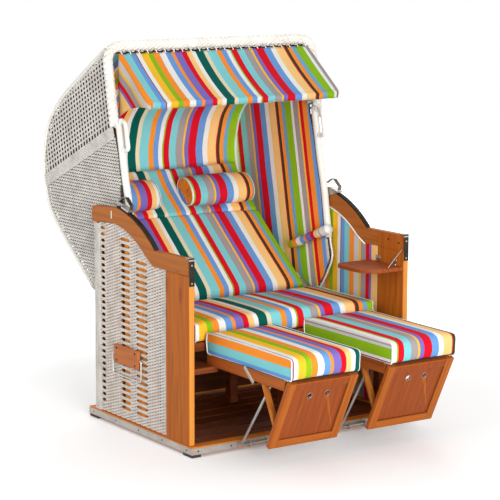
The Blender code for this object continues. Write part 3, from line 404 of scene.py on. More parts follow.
nose = min(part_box("arm_rail_left")[0].y, BOARD_FRONT)
NOSE_TOP, STRAP_LONG, STRAP_FACE, STRAP_EASE = 0.818, 0.112, 0.0026, 0.0007
HEAD_FRONT, HEAD_REAR, HEAD_FOOT, HEAD_THICK = nose + 0.001, nose + 0.18, 0.746, 0.0012
BOARD_INSIDE = BASE_HALF - 0.0285
BIG_SCREW = 0.0055
for side, x in SIDES:
    strap = bmesh.new()
    inner, outer = x * (BASE_HALF - 0.0265), x * (BASE_HALF - 0.0015)
    block(strap, (inner, nose - STRAP_FACE, NOSE_TOP - STRAP_LONG),
          (outer, nose - 0.0002, NOSE_TOP + 0.004), STRAP_EASE)
    piece(f"nose_strap_{side}", strap, dark_steel, "root", smooth=False)
    cap = bmesh.new()
    block(cap, (inner, nose - 0.0034, NOSE_TOP - 0.009),
          (outer, nose - 0.0012, NOSE_TOP - 0.003), STRAP_EASE)
    block(cap, (inner, nose - STRAP_FACE, NOSE_TOP + 0.0008),
          (outer, nose + 0.03, NOSE_TOP + 0.0044), STRAP_EASE)
    piece(f"nose_cap_{side}", cap, steel, "root", smooth=False)
    heads = [((inner + outer) / 2, nose - STRAP_FACE, NOSE_TOP - drop) for drop in (0.026, 0.100)]
    screws(f"nose_screws_{side}", heads, (0, -1, 0), "root", steel)
    head = bmesh.new()
    corners = [(HEAD_FRONT, HEAD_FOOT), (HEAD_REAR, HEAD_FOOT), (HEAD_REAR, 0.8130), (HEAD_FRONT, 0.8150)]
    face = head.faces.new([head.verts.new((x * BOARD_INSIDE, *corner)) for corner in corners])
    grow(head, [face], (x * HEAD_THICK, 0, 0))
    closed_piece(f"board_head_{side}", head, board_wood, "root", smooth=False)
    heads = [(x * BOARD_INSIDE, FRONT + y, z) for y, z in ((0.052, 0.780), (0.125, 0.787))]
    screws(f"board_screws_{side}", heads, (-x, 0, 0), "root", radius=BIG_SCREW)


# Side weave: flat strands of pale plastic wicker run from the front board to the rear corner, in and out,
# and leave a dark gap wherever one dips. In three columns they are drawn together, and the lattice shows
# between them.
def wicker(name, pale, dark, scale=1.0):
    """Matt plastic strands, faintly ribbed and mottled."""
    finish = coat(name)
    place = finish.object_place()
    mottle = finish.noise(place, 18 * scale, 3.0)
    fleck = finish.noise(place, 320 * scale, 2.0)
    tone = finish.soft_step(mottle * 0.6 + fleck * 0.4, 0.3, 0.62)
    finish.fill(finish.shader, {"Base Color": finish.mix(tone, dark, pale), "Roughness": 0.42 + fleck * 0.25,
                                "Normal": finish.bump(fleck, 0.0003, 0.5)})
    return finish


STRAND, STRAND_SHADE = tint(222, 217, 209), tint(190, 184, 175)
CREAM, CREAM_SHADE = tint(243, 239, 231), tint(220, 214, 203)
strand_finish = wicker("wicker strands", STRAND, STRAND_SHADE)
white_wrap = wicker("white wrapping", CREAM, CREAM_SHADE)
ARCH = 0.0009
WAVE = 0.0022
ROW = 0.00675
STAKE = 0.0205
PINCH = 0.72


def strand(bm, steps, spot, width, wave, arch=ARCH):
    """One flat strand along a path: spot gives a place, the way out of the surface and the way across."""
    for vert in bmesh.ops.create_grid(bm, x_segments=steps, y_segments=2, size=1)["verts"]:
        along, across = (vert.co.x + 1) / 2, vert.co.y
        place, out, aside = spot(along)
        swing = wave(along)
        narrowed = 1 - PINCH * (max(0, -swing) / WAVE) ** 3
        raised = swing + arch * (1 - across * across)
        vert.co = place + aside * (across * narrowed * width / 2) + out * raised


def flip_outwards(bm, outwards):
    """Turns every face to the side that the given way points to."""
    bm.normal_update()
    wrong = [face for face in bm.faces if face.normal.dot(outwards(face.calc_center_median())) < 0]
    bmesh.ops.reverse_faces(bm, faces=wrong)


RAIL_UNDER = 0.068
PIVOT = Vector((FRONT + 0.66, 0.41))
ARC_RADIUS = 0.548


def arc_point(radius, degrees):
    return Vector((PIVOT.x - radius * sin(radians(degrees)), PIVOT.y + radius * cos(radians(degrees))))


def offset(line, distance):
    """A line in Y and Z moved sideways, to the right of its direction where the distance is positive."""
    moved = []
    for k, point in enumerate(line):
        before, after = line[max(k - 1, 0)], line[min(k + 1, len(line) - 1)]
        along = (after - before).normalized()
        moved.append(Vector((point.x + along.y * distance, point.y - along.x * distance)))
    return moved


def height_at(line, y):
    for a, b in zip(line, line[1:]):
        if min(a.x, b.x) <= y <= max(a.x, b.x) and a.x != b.x:
            return a.y + (b.y - a.y) * (y - a.x) / (b.x - a.x)
    return line[-1].y if abs(y - line[-1].x) < abs(y - line[0].x) else line[0].y


arc = [arc_point(ARC_RADIUS, 6.6 + 35.8 * k / 16) for k in range(17)]
rail_line = [Vector((FRONT + 0.8, 0.94)), *arc, Vector((FRONT + 0.025, NOSE_TOP))]
rail_under = offset(rail_line, -RAIL_UNDER)
WEAVE_FACE = BASE_HALF - 0.0052
FIELD_FRONT, FIELD_REAR, WRAP_REAR = FRONT + 0.2008, FRONT + 0.742, FRONT + 0.7895
WRAP_INSIDE, WRAP_FACE, EDGE_FACE = 0.5465, 0.5575, 0.5545
HOLE, PITCH, LADDER = 0.0155, 0.027, 0.09
COLUMNS = ((0.354, 0.439, 1.0, 0.035), (0.492, 0.569, 1.0, 0.035), (0.700, 0.734, 0.95, 0.01))


def ladder_count(column):
    near, far, _, margin = column
    lowest = min(height_at(rail_under, FRONT + near), height_at(rail_under, FRONT + far)) - margin
    return int((lowest - LADDER) / PITCH) + 1


def drawn(y, hole):
    """How far a strand is drawn aside at this place by the hole beside it, from 0 to 1."""
    for column in COLUMNS:
        near, far, most, _ = column
        if 0 <= hole < ladder_count(column):
            inside = min(y - FRONT - near, far - (y - FRONT)) / 0.011
            if inside > -0.3:
                return most * max(0.0, min(1.0, inside + 0.3))
    return 0.0


def side_row(x, hole, index, width):
    """A strand of the side weave, and how many steps it takes."""
    centre = LADDER + hole * PITCH + HOLE + (PITCH - HOLE) / 2
    straight, bunched = centre + (index - 1.5) * ROW, centre + (index - 1.5) * (PITCH - HOLE) / 4
    near = FIELD_FRONT
    while straight > height_at(rail_under, near) - 0.002 and near < FIELD_REAR:
        near += 0.004
    beside = hole if index < 2 else hole + 1

    def spot(along):
        y = near + (FIELD_REAR - near) * along
        share = drawn(y, beside)
        raised = 0.0011 * share * (index in (1, 2))
        z = straight + (bunched - straight) * share
        return Vector((x * (WEAVE_FACE + raised), y, z)), Vector((x, 0, 0)), Vector((0, 0, 1 - 0.38 * share))

    def wave(along):
        y = near + (FIELD_REAR - near) * along
        flat = 1 - drawn(y, beside) * 0.8
        return WAVE * flat * cos(pi * ((y - FIELD_FRONT) / STAKE - 0.5) + pi * (index % 2))

    return ceil((FIELD_REAR - near) / STAKE * 4), spot, wave


for side, x in SIDES:
    bm = bmesh.new()
    top = max(point.y for point in rail_under)
    for hole in range(-2, int((top - LADDER) / PITCH) + 1):
        for index in range(4):
            steps, spot, wave = side_row(x, hole, index, ROW)
            centre = LADDER + hole * PITCH + HOLE + (PITCH - HOLE) / 2 + (index - 1.5) * ROW
            if steps > 3 and centre > SILL_TOP + ROW / 2:
                strand(bm, steps, spot, ROW * 0.97, wave)
    flip_outwards(bm, lambda middle: Vector((x, 0, 0)))
    piece(f"side_wicker_{side}", bm, strand_finish, "root", f"side_weave_{side}", slot="white_weave")
    corner = bmesh.new()
    turns = int((height_at(rail_under, FRONT + 0.765) - 0.001 - SILL_TOP) / ROW)
    for k in range(turns):
        z = SILL_TOP + 0.0003 + k * ROW
        block(corner, (x * WRAP_INSIDE, FIELD_REAR, z), (x * WRAP_FACE, WRAP_REAR, z + ROW), 0.0022)
    block(corner, (x * WRAP_INSIDE, FIELD_FRONT, SILL_TOP + 0.0003),
          (x * EDGE_FACE, FIELD_FRONT + 0.012, height_at(rail_under, FIELD_FRONT) - 0.001), 0.002)
    piece(f"corner_wrap_{side}", corner, strand_finish, "root")

# Rear weave: the same strands close the back of the base below the hood, between the two corners. They
# cover a panel of very dark wood colour, painted shade for the dark under the seat.
low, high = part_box("rear_weave")
bm = bmesh.new()
block(bm, (low.x, low.y + 0.003, low.z), (high.x, high.y - 0.006, high.z), 0.002)
for face in bm.faces:
    face.material_index = 1
rear_rows = int((high.z - low.z) / ROW)
for k in range(rear_rows):
    z = low.z + (k + 0.5) * ROW

    def spot(along):
        place = Vector((low.x + (high.x - low.x) * along, high.y - 0.004, z))
        return place, Vector((0, 1, 0)), Vector((0, 0, 1))

    strand(bm, 190, spot, ROW * 0.97,
           lambda along: WAVE * cos(pi * ((high.x - low.x) * along / STAKE) + pi * (k % 2)))
# The panel's very dark wood colour is painted shade.
rear_painted_shade_wood = wood("rear panel wood", tint(96, 50, 22), tint(60, 28, 12), "x", 0.2)
piece("rear_wicker", bm, [strand_finish, rear_painted_shade_wood], "root", "rear_weave", slot="white_weave")

# Hood weave: two woven sides, and a back that runs on over the top as the roof, all on one bent frame.
# The sides are dense below a ribbed band that climbs to the front, and open above it.
HOOD_HIGH = 1.23
HOOD_HALF = 0.5255
FRONT_SHARES = (
    (-0.0431, 0.0577), (-0.0927, 0.1244), (-0.1293, 0.1967), (-0.1187, 0.2496), (-0.1163, 0.2642),
    (-0.1150, 0.2724), (-0.0862, 0.4472), (-0.0602, 0.5480), (-0.0415, 0.6390), (-0.0228, 0.7268),
    (0.0024, 0.8593), (0.0268, 0.9911),
)
BACK_SHARES = (
    (0.0325, 1.0), (0.2724, 0.8569), (0.3846, 0.7846), (0.4780, 0.6967), (0.5106, 0.6203),
    (0.5252, 0.5455), (0.5154, 0.4724), (0.4878, 0.3829), (0.4130, 0.3073), (0.3033, 0.2236),
    (0.1593, 0.1179),
)
POST_RADIUS, RIM_RADIUS, RIM_X = 0.016, 0.022, 0.5305
POST_X = HOOD_HALF - POST_RADIUS
TUBE_RADIUS = 0.0042
POST_FOOT, POSTS = 5, 10


def smooth(points, steps):
    """A smooth curve through the points."""
    ends = [2 * points[0] - points[1], *points, 2 * points[-1] - points[-2]]
    curve = []
    for a, b, c, d in zip(ends, ends[1:], ends[2:], ends[3:]):
        for step in range(steps):
            t = step / steps
            bend = (2 * a - 5 * b + 4 * c - d) * t * t + (3 * b - a - 3 * c + d) * t ** 3
            curve.append(b + ((c - a) * t + bend) / 2)
    return curve + [points[-1]]


def hood_point(share):
    return Vector((PIVOT.x + share[0] * HOOD_HIGH, PIVOT.y + share[1] * HOOD_HIGH))


def length_of(line):
    return sum((b - a).length for a, b in zip(line, line[1:]))


def at_length(line, length):
    """The place at this length along a line, and the line's direction there."""
    for a, b in zip(line, line[1:]):
        step = (b - a).length
        if length <= step:
            return a.lerp(b, length / step), (b - a).normalized()
        length -= step
    return line[-1] + (line[-1] - line[-2]).normalized() * length, (line[-1] - line[-2]).normalized()


hood_front = [hood_point(share) for share in FRONT_SHARES]
hood_back_line = smooth([hood_point(share) for share in BACK_SHARES], 6)
behind_tube = offset(hood_front, 2 * TUBE_RADIUS + 0.0005)
behind_post = offset(hood_front, 2 * POST_RADIUS + 0.0005)
behind_rim = offset(hood_front, 2 * RIM_RADIUS + 0.0005)
side_front = behind_tube[:POST_FOOT] + behind_post[POST_FOOT:POSTS - 1] + behind_rim[POSTS - 1:]
ROOF_FROM, EAR = 0.05, 0.03
roof_run = length_of(hood_back_line) - ROOF_FROM
roof_line = [at_length(hood_back_line, ROOF_FROM + roof_run * k / 80)[0] for k in range(81)]
ear = [PIVOT + Vector((EAR * cos(radians(a)), EAR * sin(radians(a)))) for a in range(180, 316, 27)]
outline = side_front + roof_line + ear[::-1]
BAND_SLOPE = radians(24.4)
row_way = Vector((-cos(BAND_SLOPE), sin(BAND_SLOPE)))
row_up = Vector((sin(BAND_SLOPE), cos(BAND_SLOPE)))
stake_way = Vector((sin(radians(11.2)), cos(radians(11.2))))
BAND = Vector((FRONT + 1.22, 1.02))


def crossings(start, way):
    """Where a line crosses the hood side's outline, in pairs, as lengths from its start."""
    found = []
    square = Vector((-way.y, way.x))
    for a, b in zip(outline, outline[1:] + outline[:1]):
        first, second = (a - start).dot(square), (b - start).dot(square)
        if (first < 0) != (second < 0):
            found.append((a.lerp(b, first / (first - second)) - start).dot(way))
    found.sort()
    return [(found[k], found[k + 1]) for k in range(0, len(found) - 1, 2)]


SUNK, UNDER = 0.0035, 0.0002
SHORTEST, STAKE_FOOT = 0.02, 0.028
BAND_ROWS, BELOW_BAND, ABOVE_BAND = 3, 0.018, 0.03
DENSE_ROW, DENSE_WIDE, DENSE_STAKE = 0.0078, 0.0072, 0.018
RIB_ROW, RIB_WIDE, RIB_STAKE, RIB_WAVE = 0.0075, 0.0084, 0.009, 0.0012
OPEN_ROW, OPEN_WIDE, OPEN_PITCH, OPEN_WAVE = 0.0065, 0.0086, 0.024, 0.0008
OPEN_STAKE, STAKE_WIDE = 0.0238, 0.0128


def hood_rows(bm, x, rise, odd, width, height, pitch, lift=0.0):
    """Strands of the hood side along a line this far above the band's middle, cut to the outline."""
    start = BAND + row_up * rise
    aside = Vector((0, -row_way.y, row_way.x))
    for first, last in crossings(start, row_way):
        if last - first < SHORTEST:
            continue

        def run(along, first=first, last=last):
            return first + (last - first) * along

        def spot(along, run=run):
            place = start + row_way * run(along)
            return Vector((x * (HOOD_HALF - SUNK + lift), place.x, place.y)), Vector((x, 0, 0)), aside

        strand(bm, max(4, ceil((last - first) / pitch * 4)), spot, width,
               lambda along, run=run: height * cos(pi * run(along) / pitch + pi * odd))


for side, x in SIDES:
    bm = bmesh.new()
    for k in range(-160, 60):
        if k < -BAND_ROWS:
            rise = (k + BAND_ROWS) * DENSE_ROW - BELOW_BAND
            hood_rows(bm, x, rise, k % 2, DENSE_WIDE, WAVE, DENSE_STAKE)
        elif k <= BAND_ROWS:
            hood_rows(bm, x, k * RIB_ROW, k % 2, RIB_WIDE, RIB_WAVE, RIB_STAKE, SUNK)
        elif k % 3 == 0:
            rise = ABOVE_BAND + (k - BAND_ROWS) * OPEN_ROW
            hood_rows(bm, x, rise, k // 3 % 2, OPEN_WIDE, OPEN_WAVE, OPEN_PITCH)
    level = Vector((1, -tan(BAND_SLOPE)))
    for k in range(-60, 60):
        start = BAND + level * k * OPEN_STAKE
        for first, last in crossings(start, stake_way):
            first = max(first, STAKE_FOOT)
            if last - first < SHORTEST / 2:
                continue

            def spot(along, first=first, last=last):
                place = start + stake_way * (first + (last - first) * along)
                return (Vector((x * (HOOD_HALF - SUNK), place.x, place.y)), Vector((x, 0, 0)),
                        Vector((0, stake_way.y, -stake_way.x)))

            strand(bm, 10, spot, STAKE_WIDE, lambda along: -UNDER)
    flip_outwards(bm, lambda middle: Vector((x, 0, 0)))
    piece(f"hood_wicker_{side}", bm, strand_finish, "hood", f"hood_side_{side}", slot="white_weave")

roof_long = length_of(roof_line)
bm = bmesh.new()
BACK_ROW, BACK_STAKE = 0.0082, 0.0225
for k in range(int(roof_long / BACK_ROW)):
    place, way = at_length(roof_line, (k + 0.5) * BACK_ROW)
    square = Vector((-way.y, way.x))

    def spot(along):
        at = Vector((-HOOD_HALF + 2 * HOOD_HALF * along, *(place - square * SUNK)))
        return at, Vector((0, *square)), Vector((0, *way))

    height = WAVE * (1 if k % 9 else 0.3)
    strand(bm, 186, spot, BACK_ROW * 0.95 if k % 9 else BACK_ROW * 1.3,
           lambda along: height * cos(pi * 2 * HOOD_HALF * along / BACK_STAKE + pi * (k % 2)))
for k in range(int(2 * HOOD_HALF / BACK_STAKE)):
    stake_x = -HOOD_HALF + (k + 0.5) * BACK_STAKE

    def spot(along):
        place, way = at_length(roof_line, roof_long * along)
        square = Vector((-way.y, way.x))
        return Vector((stake_x, *(place - square * SUNK))), Vector((0, *square)), Vector((1, 0, 0))

    strand(bm, 60, spot, 0.0075, lambda along: -UNDER)
hood_middle = hood_point((0.2, 0.5))
flip_outwards(bm, lambda middle: Vector((0, middle.y - hood_middle.x, middle.z - hood_middle.y)))
piece("hood_wicker_back", bm, strand_finish, "hood", "hood_back", slot="white_weave")


# Hood frame: smooth white posts up the front edges, a thick plaited rim from their heads over the top, and
# wrapped beads along the edges where the sides meet the back.
def sweep(bm, path, radius, sides=10, closed=False, start_out=(1, 0, 0), flat=1.0):
    """A round bar along a path, laid in the bmesh with its length in the second UV coordinate."""
    grid = bm.loops.layers.uv.verify()
    before = [path[-1], *path[:-1]] if closed else [path[0], *path[:-1]]
    after = [*path[1:], path[0]] if closed else [*path[1:], path[-1]]
    out = Vector(start_out)
    rings, run = [], 0.0
    for k, place in enumerate(path):
        along = (after[k] - before[k]).normalized()
        out = (out - along * out.dot(along)).normalized()
        across = along.cross(out)
        size = radius(run) if callable(radius) else radius
        if rings:
            run += (place - path[k - 1]).length
        made = bmesh.ops.create_circle(bm, segments=sides, radius=size)["verts"]
        turn = Matrix((out * flat, across, along)).transposed().to_4x4()
        bmesh.ops.transform(bm, matrix=Matrix.Translation(place) @ turn, verts=made)
        rings.append((made, run))
    if closed:
        rings.append((rings[0][0], run + (path[0] - path[-1]).length))
    for (low_ring, low_run), (high_ring, high_run) in zip(rings, rings[1:]):
        for k in range(sides):
            corners = [low_ring[k], low_ring[(k + 1) % sides], high_ring[(k + 1) % sides], high_ring[k]]
            face = bm.faces.new(corners)
            places = ((k, low_run), (k + 1, low_run), (k + 1, high_run), (k, high_run))
            for loop, (share, length) in zip(face.loops, places):
                loop[grid].uv = (share / sides, length)
    if not closed:
        bm.faces.new(rings[0][0][::-1])
        bm.faces.new(rings[-1][0])


def placed(x, points):
    """Points of a line in Y and Z, laid at one X."""
    return [Vector((x, *point)) for point in points]


def bent(points, radius, steps=6):
    """The points with each inner corner rounded to this radius."""
    points = [Vector(point) for point in points]
    path = [points[0]]
    for before, corner, after in zip(points, points[1:], points[2:]):
        ways = (before - corner).normalized(), (after - corner).normalized()
        longest = min((before - corner).length, (after - corner).length) / 2
        reach = min(radius / tan(ways[0].angle(ways[1]) / 2), longest)
        first, last = corner + ways[0] * reach, corner + ways[1] * reach
        for step in range(steps + 1):
            share = step / steps
            path.append(first.lerp(corner, share).lerp(corner.lerp(last, share), share))
    return path + [points[-1]]


def evened(path, pitch):
    """A path as points at one even pitch."""
    whole = length_of(path)
    count = max(2, round(whole / pitch))
    return [at_length(path, whole * k / count)[0] for k in range(count + 1)]


def tube(name, path, radius, material, body, *nodes, sides=12, slot=None, closed=False):
    bm = bmesh.new()
    sweep(bm, path, radius, sides, closed)
    return closed_piece(name, bm, material, body, *nodes, slot=slot)


post_line = offset(hood_front, POST_RADIUS)[POST_FOOT:POSTS]
tube_line = offset(hood_front, TUBE_RADIUS)[:POST_FOOT + 1]
rim_line = offset(hood_front, RIM_RADIUS)[POSTS - 1:]
tube_line[0] += (tube_line[1] - tube_line[0]).normalized() * 0.0075
post_line[-1] += (post_line[-1] - post_line[-2]).normalized() * RIM_RADIUS
arch = [(-RIM_X, *point) for point in rim_line] + [(RIM_X, *point) for point in rim_line[::-1]]
rim_path = evened(bent(arch, 0.07), 0.012)
posts = bmesh.new()
for side, x in SIDES:
    sweep(posts, placed(x * POST_X, smooth(post_line, 4)), POST_RADIUS, 16)
    sweep(posts, placed(x * POST_X, smooth(tube_line, 6)), TUBE_RADIUS, 12)
sweep(posts, rim_path, RIM_RADIUS - 0.007, 12, start_out=(0, -1, 0))
wrapped = coat("wrapped posts")
uv = wrapped.node("ShaderNodeTexCoord", out="UV")
turn, run = (wrapped.node("ShaderNodeSeparateXYZ", {}, {0: uv}, out=k) for k in range(2))
winding = ((run * (2 * pi / 0.009)) + turn * (2 * pi)).maths("SINE") * 0.5 + 0.5
mottle = wrapped.noise(wrapped.object_place(), 24, 3.0)
# Painted shade: the grooves between the windings are darkened towards the cream's darker tone.
groove_painted_shade = wrapped.soft_step(winding, 0.0, 0.16)
wrapped.fill(wrapped.shader, {"Base Color": wrapped.mix(groove_painted_shade * (0.6 + mottle * 0.5), CREAM_SHADE, CREAM),
                              "Roughness": 0.36 + mottle * 0.2,
                              "Normal": wrapped.bump(winding, 0.0007, 0.5)})
closed_piece("hood_posts", posts, wrapped, "hood", "hood_border", slot="white_weave")

plait = bmesh.new()
PLAIT_PITCH, PLAIT_LONG, PLAIT_WIDE, PLAIT_THICK, PLAIT_SUNK = 0.0245, 0.050, 0.0108, 0.0078, 0.0086
for k, place in enumerate(evened(rim_path, PLAIT_PITCH)):
    after = at_length(rim_path, min((k + 1) * PLAIT_PITCH, length_of(rim_path)))[0]
    before = at_length(rim_path, max((k - 1) * PLAIT_PITCH, 0))[0]
    along = (after - before).normalized()
    out = Vector((0, -1, 0))
    out = (out - along * out.dot(along)).normalized()
    across = along.cross(out)
    for column in range(4):
        turn = Matrix.Rotation(pi / 4 + pi / 2 * column, 3, along)
        face = turn @ out
        wide = along.cross(face)
        slant = radians(40) * (1 if column % 2 else -1)
        lie = along * cos(slant) + wide * sin(slant)
        aside = face.cross(lie)
        made = bmesh.ops.create_uvsphere(plait, u_segments=12, v_segments=8, radius=1)["verts"]
        axes = (lie * (PLAIT_LONG / 2), aside * PLAIT_WIDE, face * PLAIT_THICK)
        middle = place + along * (PLAIT_PITCH / 2 * (column // 2)) + face * (RIM_RADIUS - PLAIT_SUNK)
        laid = Matrix.Translation(middle) @ Matrix(axes).transposed().to_4x4()
        bmesh.ops.transform(plait, matrix=laid, verts=made)
closed_piece("rim_plait", plait, white_wrap, "hood", slot="white_weave")

beads = bmesh.new()
bead_line = offset(roof_line, 0.004)
for side, x in SIDES:
    sweep(beads, placed(x * (HOOD_HALF - 0.005), bead_line[:-1]), 0.0085)
closed_piece("hood_beads", beads, wrapped, "hood")

# Grips: two white enamelled tubes bent to a C, screwed to the posts just below the plaited rim.
enamel = wicker("white enamel", tint(246, 244, 240), tint(232, 229, 223), 0.4)
post_height = [Vector((point.y, point.x)) for point in hood_front]
for side, x in SIDES:
    low, high = (PIVOT.y + share * HOOD_HIGH for share in (0.640, 0.735))
    low_y, high_y = (height_at(post_height, z - 0.009) + 0.004 for z in (low, high))
    corners = ((low_y, low), (low_y - 0.04, low), (high_y - 0.04, high), (high_y, high))
    route = [(x * POST_X, *corner) for corner in corners]
    tube(f"grip_{side}", bent(route, 0.026, 8), 0.009, enamel, "hood", f"hood_grip_{side}", sides=16)
    flanges = bmesh.new()
    for y, z in ((low_y - 0.006, low), (high_y - 0.006, high)):
        sweep(flanges, [Vector((x * POST_X, y, z)), Vector((x * POST_X, y - 0.004, z))], 0.0135, 16)
    closed_piece(f"grip_flanges_{side}", flanges, enamel, "hood")

# Striped cloth: one woven outdoor cloth, its stripes running its whole length, is cut for the linings, the
# awning and every cushion. A piece's UV map gives where on the cloth it was cut, in metres.
DYES = {
    "red": tint(216, 18, 38), "green": tint(140, 186, 28), "deep green": tint(0, 90, 80),
    "turquoise": tint(128, 206, 212), "orange": tint(246, 146, 50), "blue": tint(106, 156, 216),
    "white": tint(236, 236, 232), "grey": tint(164, 154, 154), "yellow": tint(248, 190, 46),
    "purple": tint(122, 110, 188), "sand": tint(250, 202, 128), "olive": tint(64, 60, 46),
    "dark red": tint(165, 22, 50), "beige": tint(228, 218, 184), "slate": tint(112, 166, 202),
    "pale grey": tint(206, 202, 200), "lilac": tint(188, 194, 226),
}
CLOTH = (
    ("sand", 44), ("purple", 16), ("red", 26), ("grey", 35), ("yellow", 14), ("pale grey", 34),
    ("orange", 40), ("turquoise", 35), ("blue", 25), ("dark red", 5), ("white", 18), ("yellow", 39),
    ("green", 22),
    ("orange", 35), ("white", 26), ("blue", 34), ("orange", 15), ("purple", 35), ("red", 24), ("sand", 25),
    ("white", 25), ("deep green", 37), ("beige", 20), ("turquoise", 47), ("orange", 24), ("blue", 28),
    ("white", 22), ("green", 8), ("red", 24), ("turquoise", 38), ("grey", 34), ("yellow", 12),
    ("purple", 20), ("red", 43), ("blue", 35), ("white", 25), ("sand", 44), ("red", 8), ("olive", 15),
    ("orange", 22),
    ("slate", 17), ("green", 44), ("white", 15), ("grey", 30), ("yellow", 10), ("red", 22), ("orange", 30),
    ("blue", 22), ("pale grey", 40),
)
CUT_AT = 0.682
MOST_STOPS = 28


def striped(name, stripes, axis=0, folds=0.5, level_and_painted_light=0.9):
    """The striped cloth: bands of one colour across the UV map, a fine weave, fading and soft creases; the
    last argument scales every colour, for painted light or shade.
    """
    finish = coat(name)

    def bands(stops):
        return finish.node("ShaderNodeValToRGB", {"stops": stops, "interpolation": "CONSTANT"}, {0: share})

    uv = finish.node("ShaderNodeTexCoord", out="UV")
    across = finish.node("ShaderNodeSeparateXYZ", {}, {0: uv}, out=axis)
    wobble = finish.noise(finish.object_place(), 34.0, 1.0) * 0.0014 - 0.0007
    whole = sum(wide for _, wide in stripes) / 1000
    share = (across + wobble) / whole
    stops, start = [], 0.0
    for dye, wide in stripes:
        stops.append((start / whole, DYES[dye]))
        start += wide / 1000
    colour = bands(stops[:MOST_STOPS])
    if len(stops) > MOST_STOPS:
        colour = finish.mix(share > stops[MOST_STOPS][0], colour, bands(stops[MOST_STOPS:]))
    place = finish.object_place()
    thread = finish.noise(place, 620.0, 2.0)
    wear = finish.noise(place, 9.0, 3.0)
    shade = finish.node("ShaderNodeVectorMath", {"operation": "SCALE"},
                        {0: colour, "Scale": level_and_painted_light + thread * 0.1 + wear * 0.08})
    crease = finish.noise(place, 11.0, 2.0, (1, 1, 1.6))
    height = crease * folds + thread * 0.05
    finish.fill(finish.shader, {"Base Color": shade, "Roughness": 0.78 + thread * 0.14,
                                "Normal": finish.bump(height, 0.006, 0.5), "Specular IOR Level": 0.12})
    return finish


cloth = striped("striped cloth", CLOTH)
# The linings' copy is made paler: painted light.
lining_cloth_painted_light = striped("lining cloth painted light", CLOTH, level_and_painted_light=1.08)
# The awning's copy is made darker: painted shade.
awning_cloth_painted_shade = striped("awning cloth painted shade", CLOTH, level_and_painted_light=0.72)
piping_cloth = striped("white piping", (("white", 500), ("white", 500)), folds=0.1)


def lay_cloth(bm, cut):
    """Writes where on the cloth each corner was cut: cut gives the places across and along it, in metres."""
    grid = bm.loops.layers.uv.verify()
    for face in bm.faces:
        for loop in face.loops:
            loop[grid].uv = cut(face, loop.vert.co)


def ruffle(point, scale, height):
    """A smooth random height, the same every run."""
    return noise.noise(Vector(point) * scale) * height


# Painted shade: a dark brown sheet just behind the weave of the base walls and the hood, so that the weave's
# gaps show dark.
painted_shade_sheet = coat("painted shade backing")
sheet_noise = painted_shade_sheet.noise(painted_shade_sheet.object_place(), 240.0, 3.0)
painted_shade_sheet.fill(painted_shade_sheet.shader, {"Base Color": painted_shade_sheet.mix(sheet_noise, tint(38, 27, 23), tint(84, 62, 52)),
                        "Roughness": 0.85 + sheet_noise * 0.1, "Normal": painted_shade_sheet.bump(sheet_noise, 0.0006, 0.5),
                        "Specular IOR Level": 0.1})


BUTTON = 0.009


def knob(bm, place, squeeze):
    """A button: a ball pressed flat along one axis."""
    made = bmesh.ops.create_uvsphere(bm, u_segments=16, v_segments=8, radius=BUTTON)["verts"]
    bmesh.ops.scale(bm, vec=squeeze, verts=made)
    bmesh.ops.translate(bm, vec=place, verts=made)


def flat_cloth(name, corners, x, cut, puff, body, *nodes, material=cloth, slot="striped_cloth"):
    """A lining cut to an outline in Y and Z, stretched on a wall that faces across the chair."""
    bm = bmesh.new()
    bm.faces.new([bm.verts.new((x, *point)) for point in corners])
    low = Vector((0, min(p.x for p in corners), min(p.y for p in corners)))
    high = Vector((0, max(p.x for p in corners), max(p.y for p in corners)))
    for way in (Vector((0, 1, 0)), Vector((0, 0, 1))):
        reach = (high - low).dot(way)
        count = int(reach / 0.03)
        for k in range(1, count):
            slice_at(bm, low + way * reach * k / count, way)
    lay_cloth(bm, cut)
    inwards = -1 if x > 0 else 1
    for vert in bm.verts:
        if not vert.is_boundary:
            vert.co.x += inwards * (puff + ruffle(vert.co, 7, 0.0016))
    bmesh.ops.triangulate(bm, faces=[face for face in bm.faces if len(face.verts) > 4])
    flip_outwards(bm, lambda middle: Vector((inwards, 0, 0)))
    made = piece(name, bm, material, body, *nodes, slot=slot)
    area = abs(sum(a.x * b.y - b.x * a.y for a, b in zip(corners, corners[1:] + corners[:1]))) / 2
    return made


field = [Vector((FIELD_FRONT, SILL_TOP + 0.0005)), Vector((WRAP_REAR, SILL_TOP + 0.0005)),
         Vector((WRAP_REAR, height_at(rail_under, WRAP_REAR) - 0.001))]
under_rail = [Vector((p.x, p.y - 0.001)) for p in rail_under if FIELD_FRONT < p.x < FRONT + 0.789]
field += under_rail + [Vector((FIELD_FRONT, height_at(rail_under, FIELD_FRONT) - 0.001))]
WALL_INSIDE = BASE_HALF - 0.028
for side, x in SIDES:
    flat_cloth(f"side_cloth_{side}", field, x * (WALL_INSIDE + 0.0012),
               lambda face, co: (co.y - FIELD_FRONT, co.z), 0.0004, "root", f"side_lining_{side}")
    # Behind the side weave, the dark sheet of painted shade.
    flat_cloth(f"side_shade_sheet_{side}", field, x * (BASE_HALF - 0.0224), lambda face, co: (co.y, co.z), 0.0,
               "root", material=painted_shade_sheet, slot=None)
    edge = [Vector((x * WALL_INSIDE, p.x, p.y - 0.003)) for p in field[3:-1]]
    tube(f"side_piping_{side}", edge, 0.0035, piping_cloth, "root", sides=8)

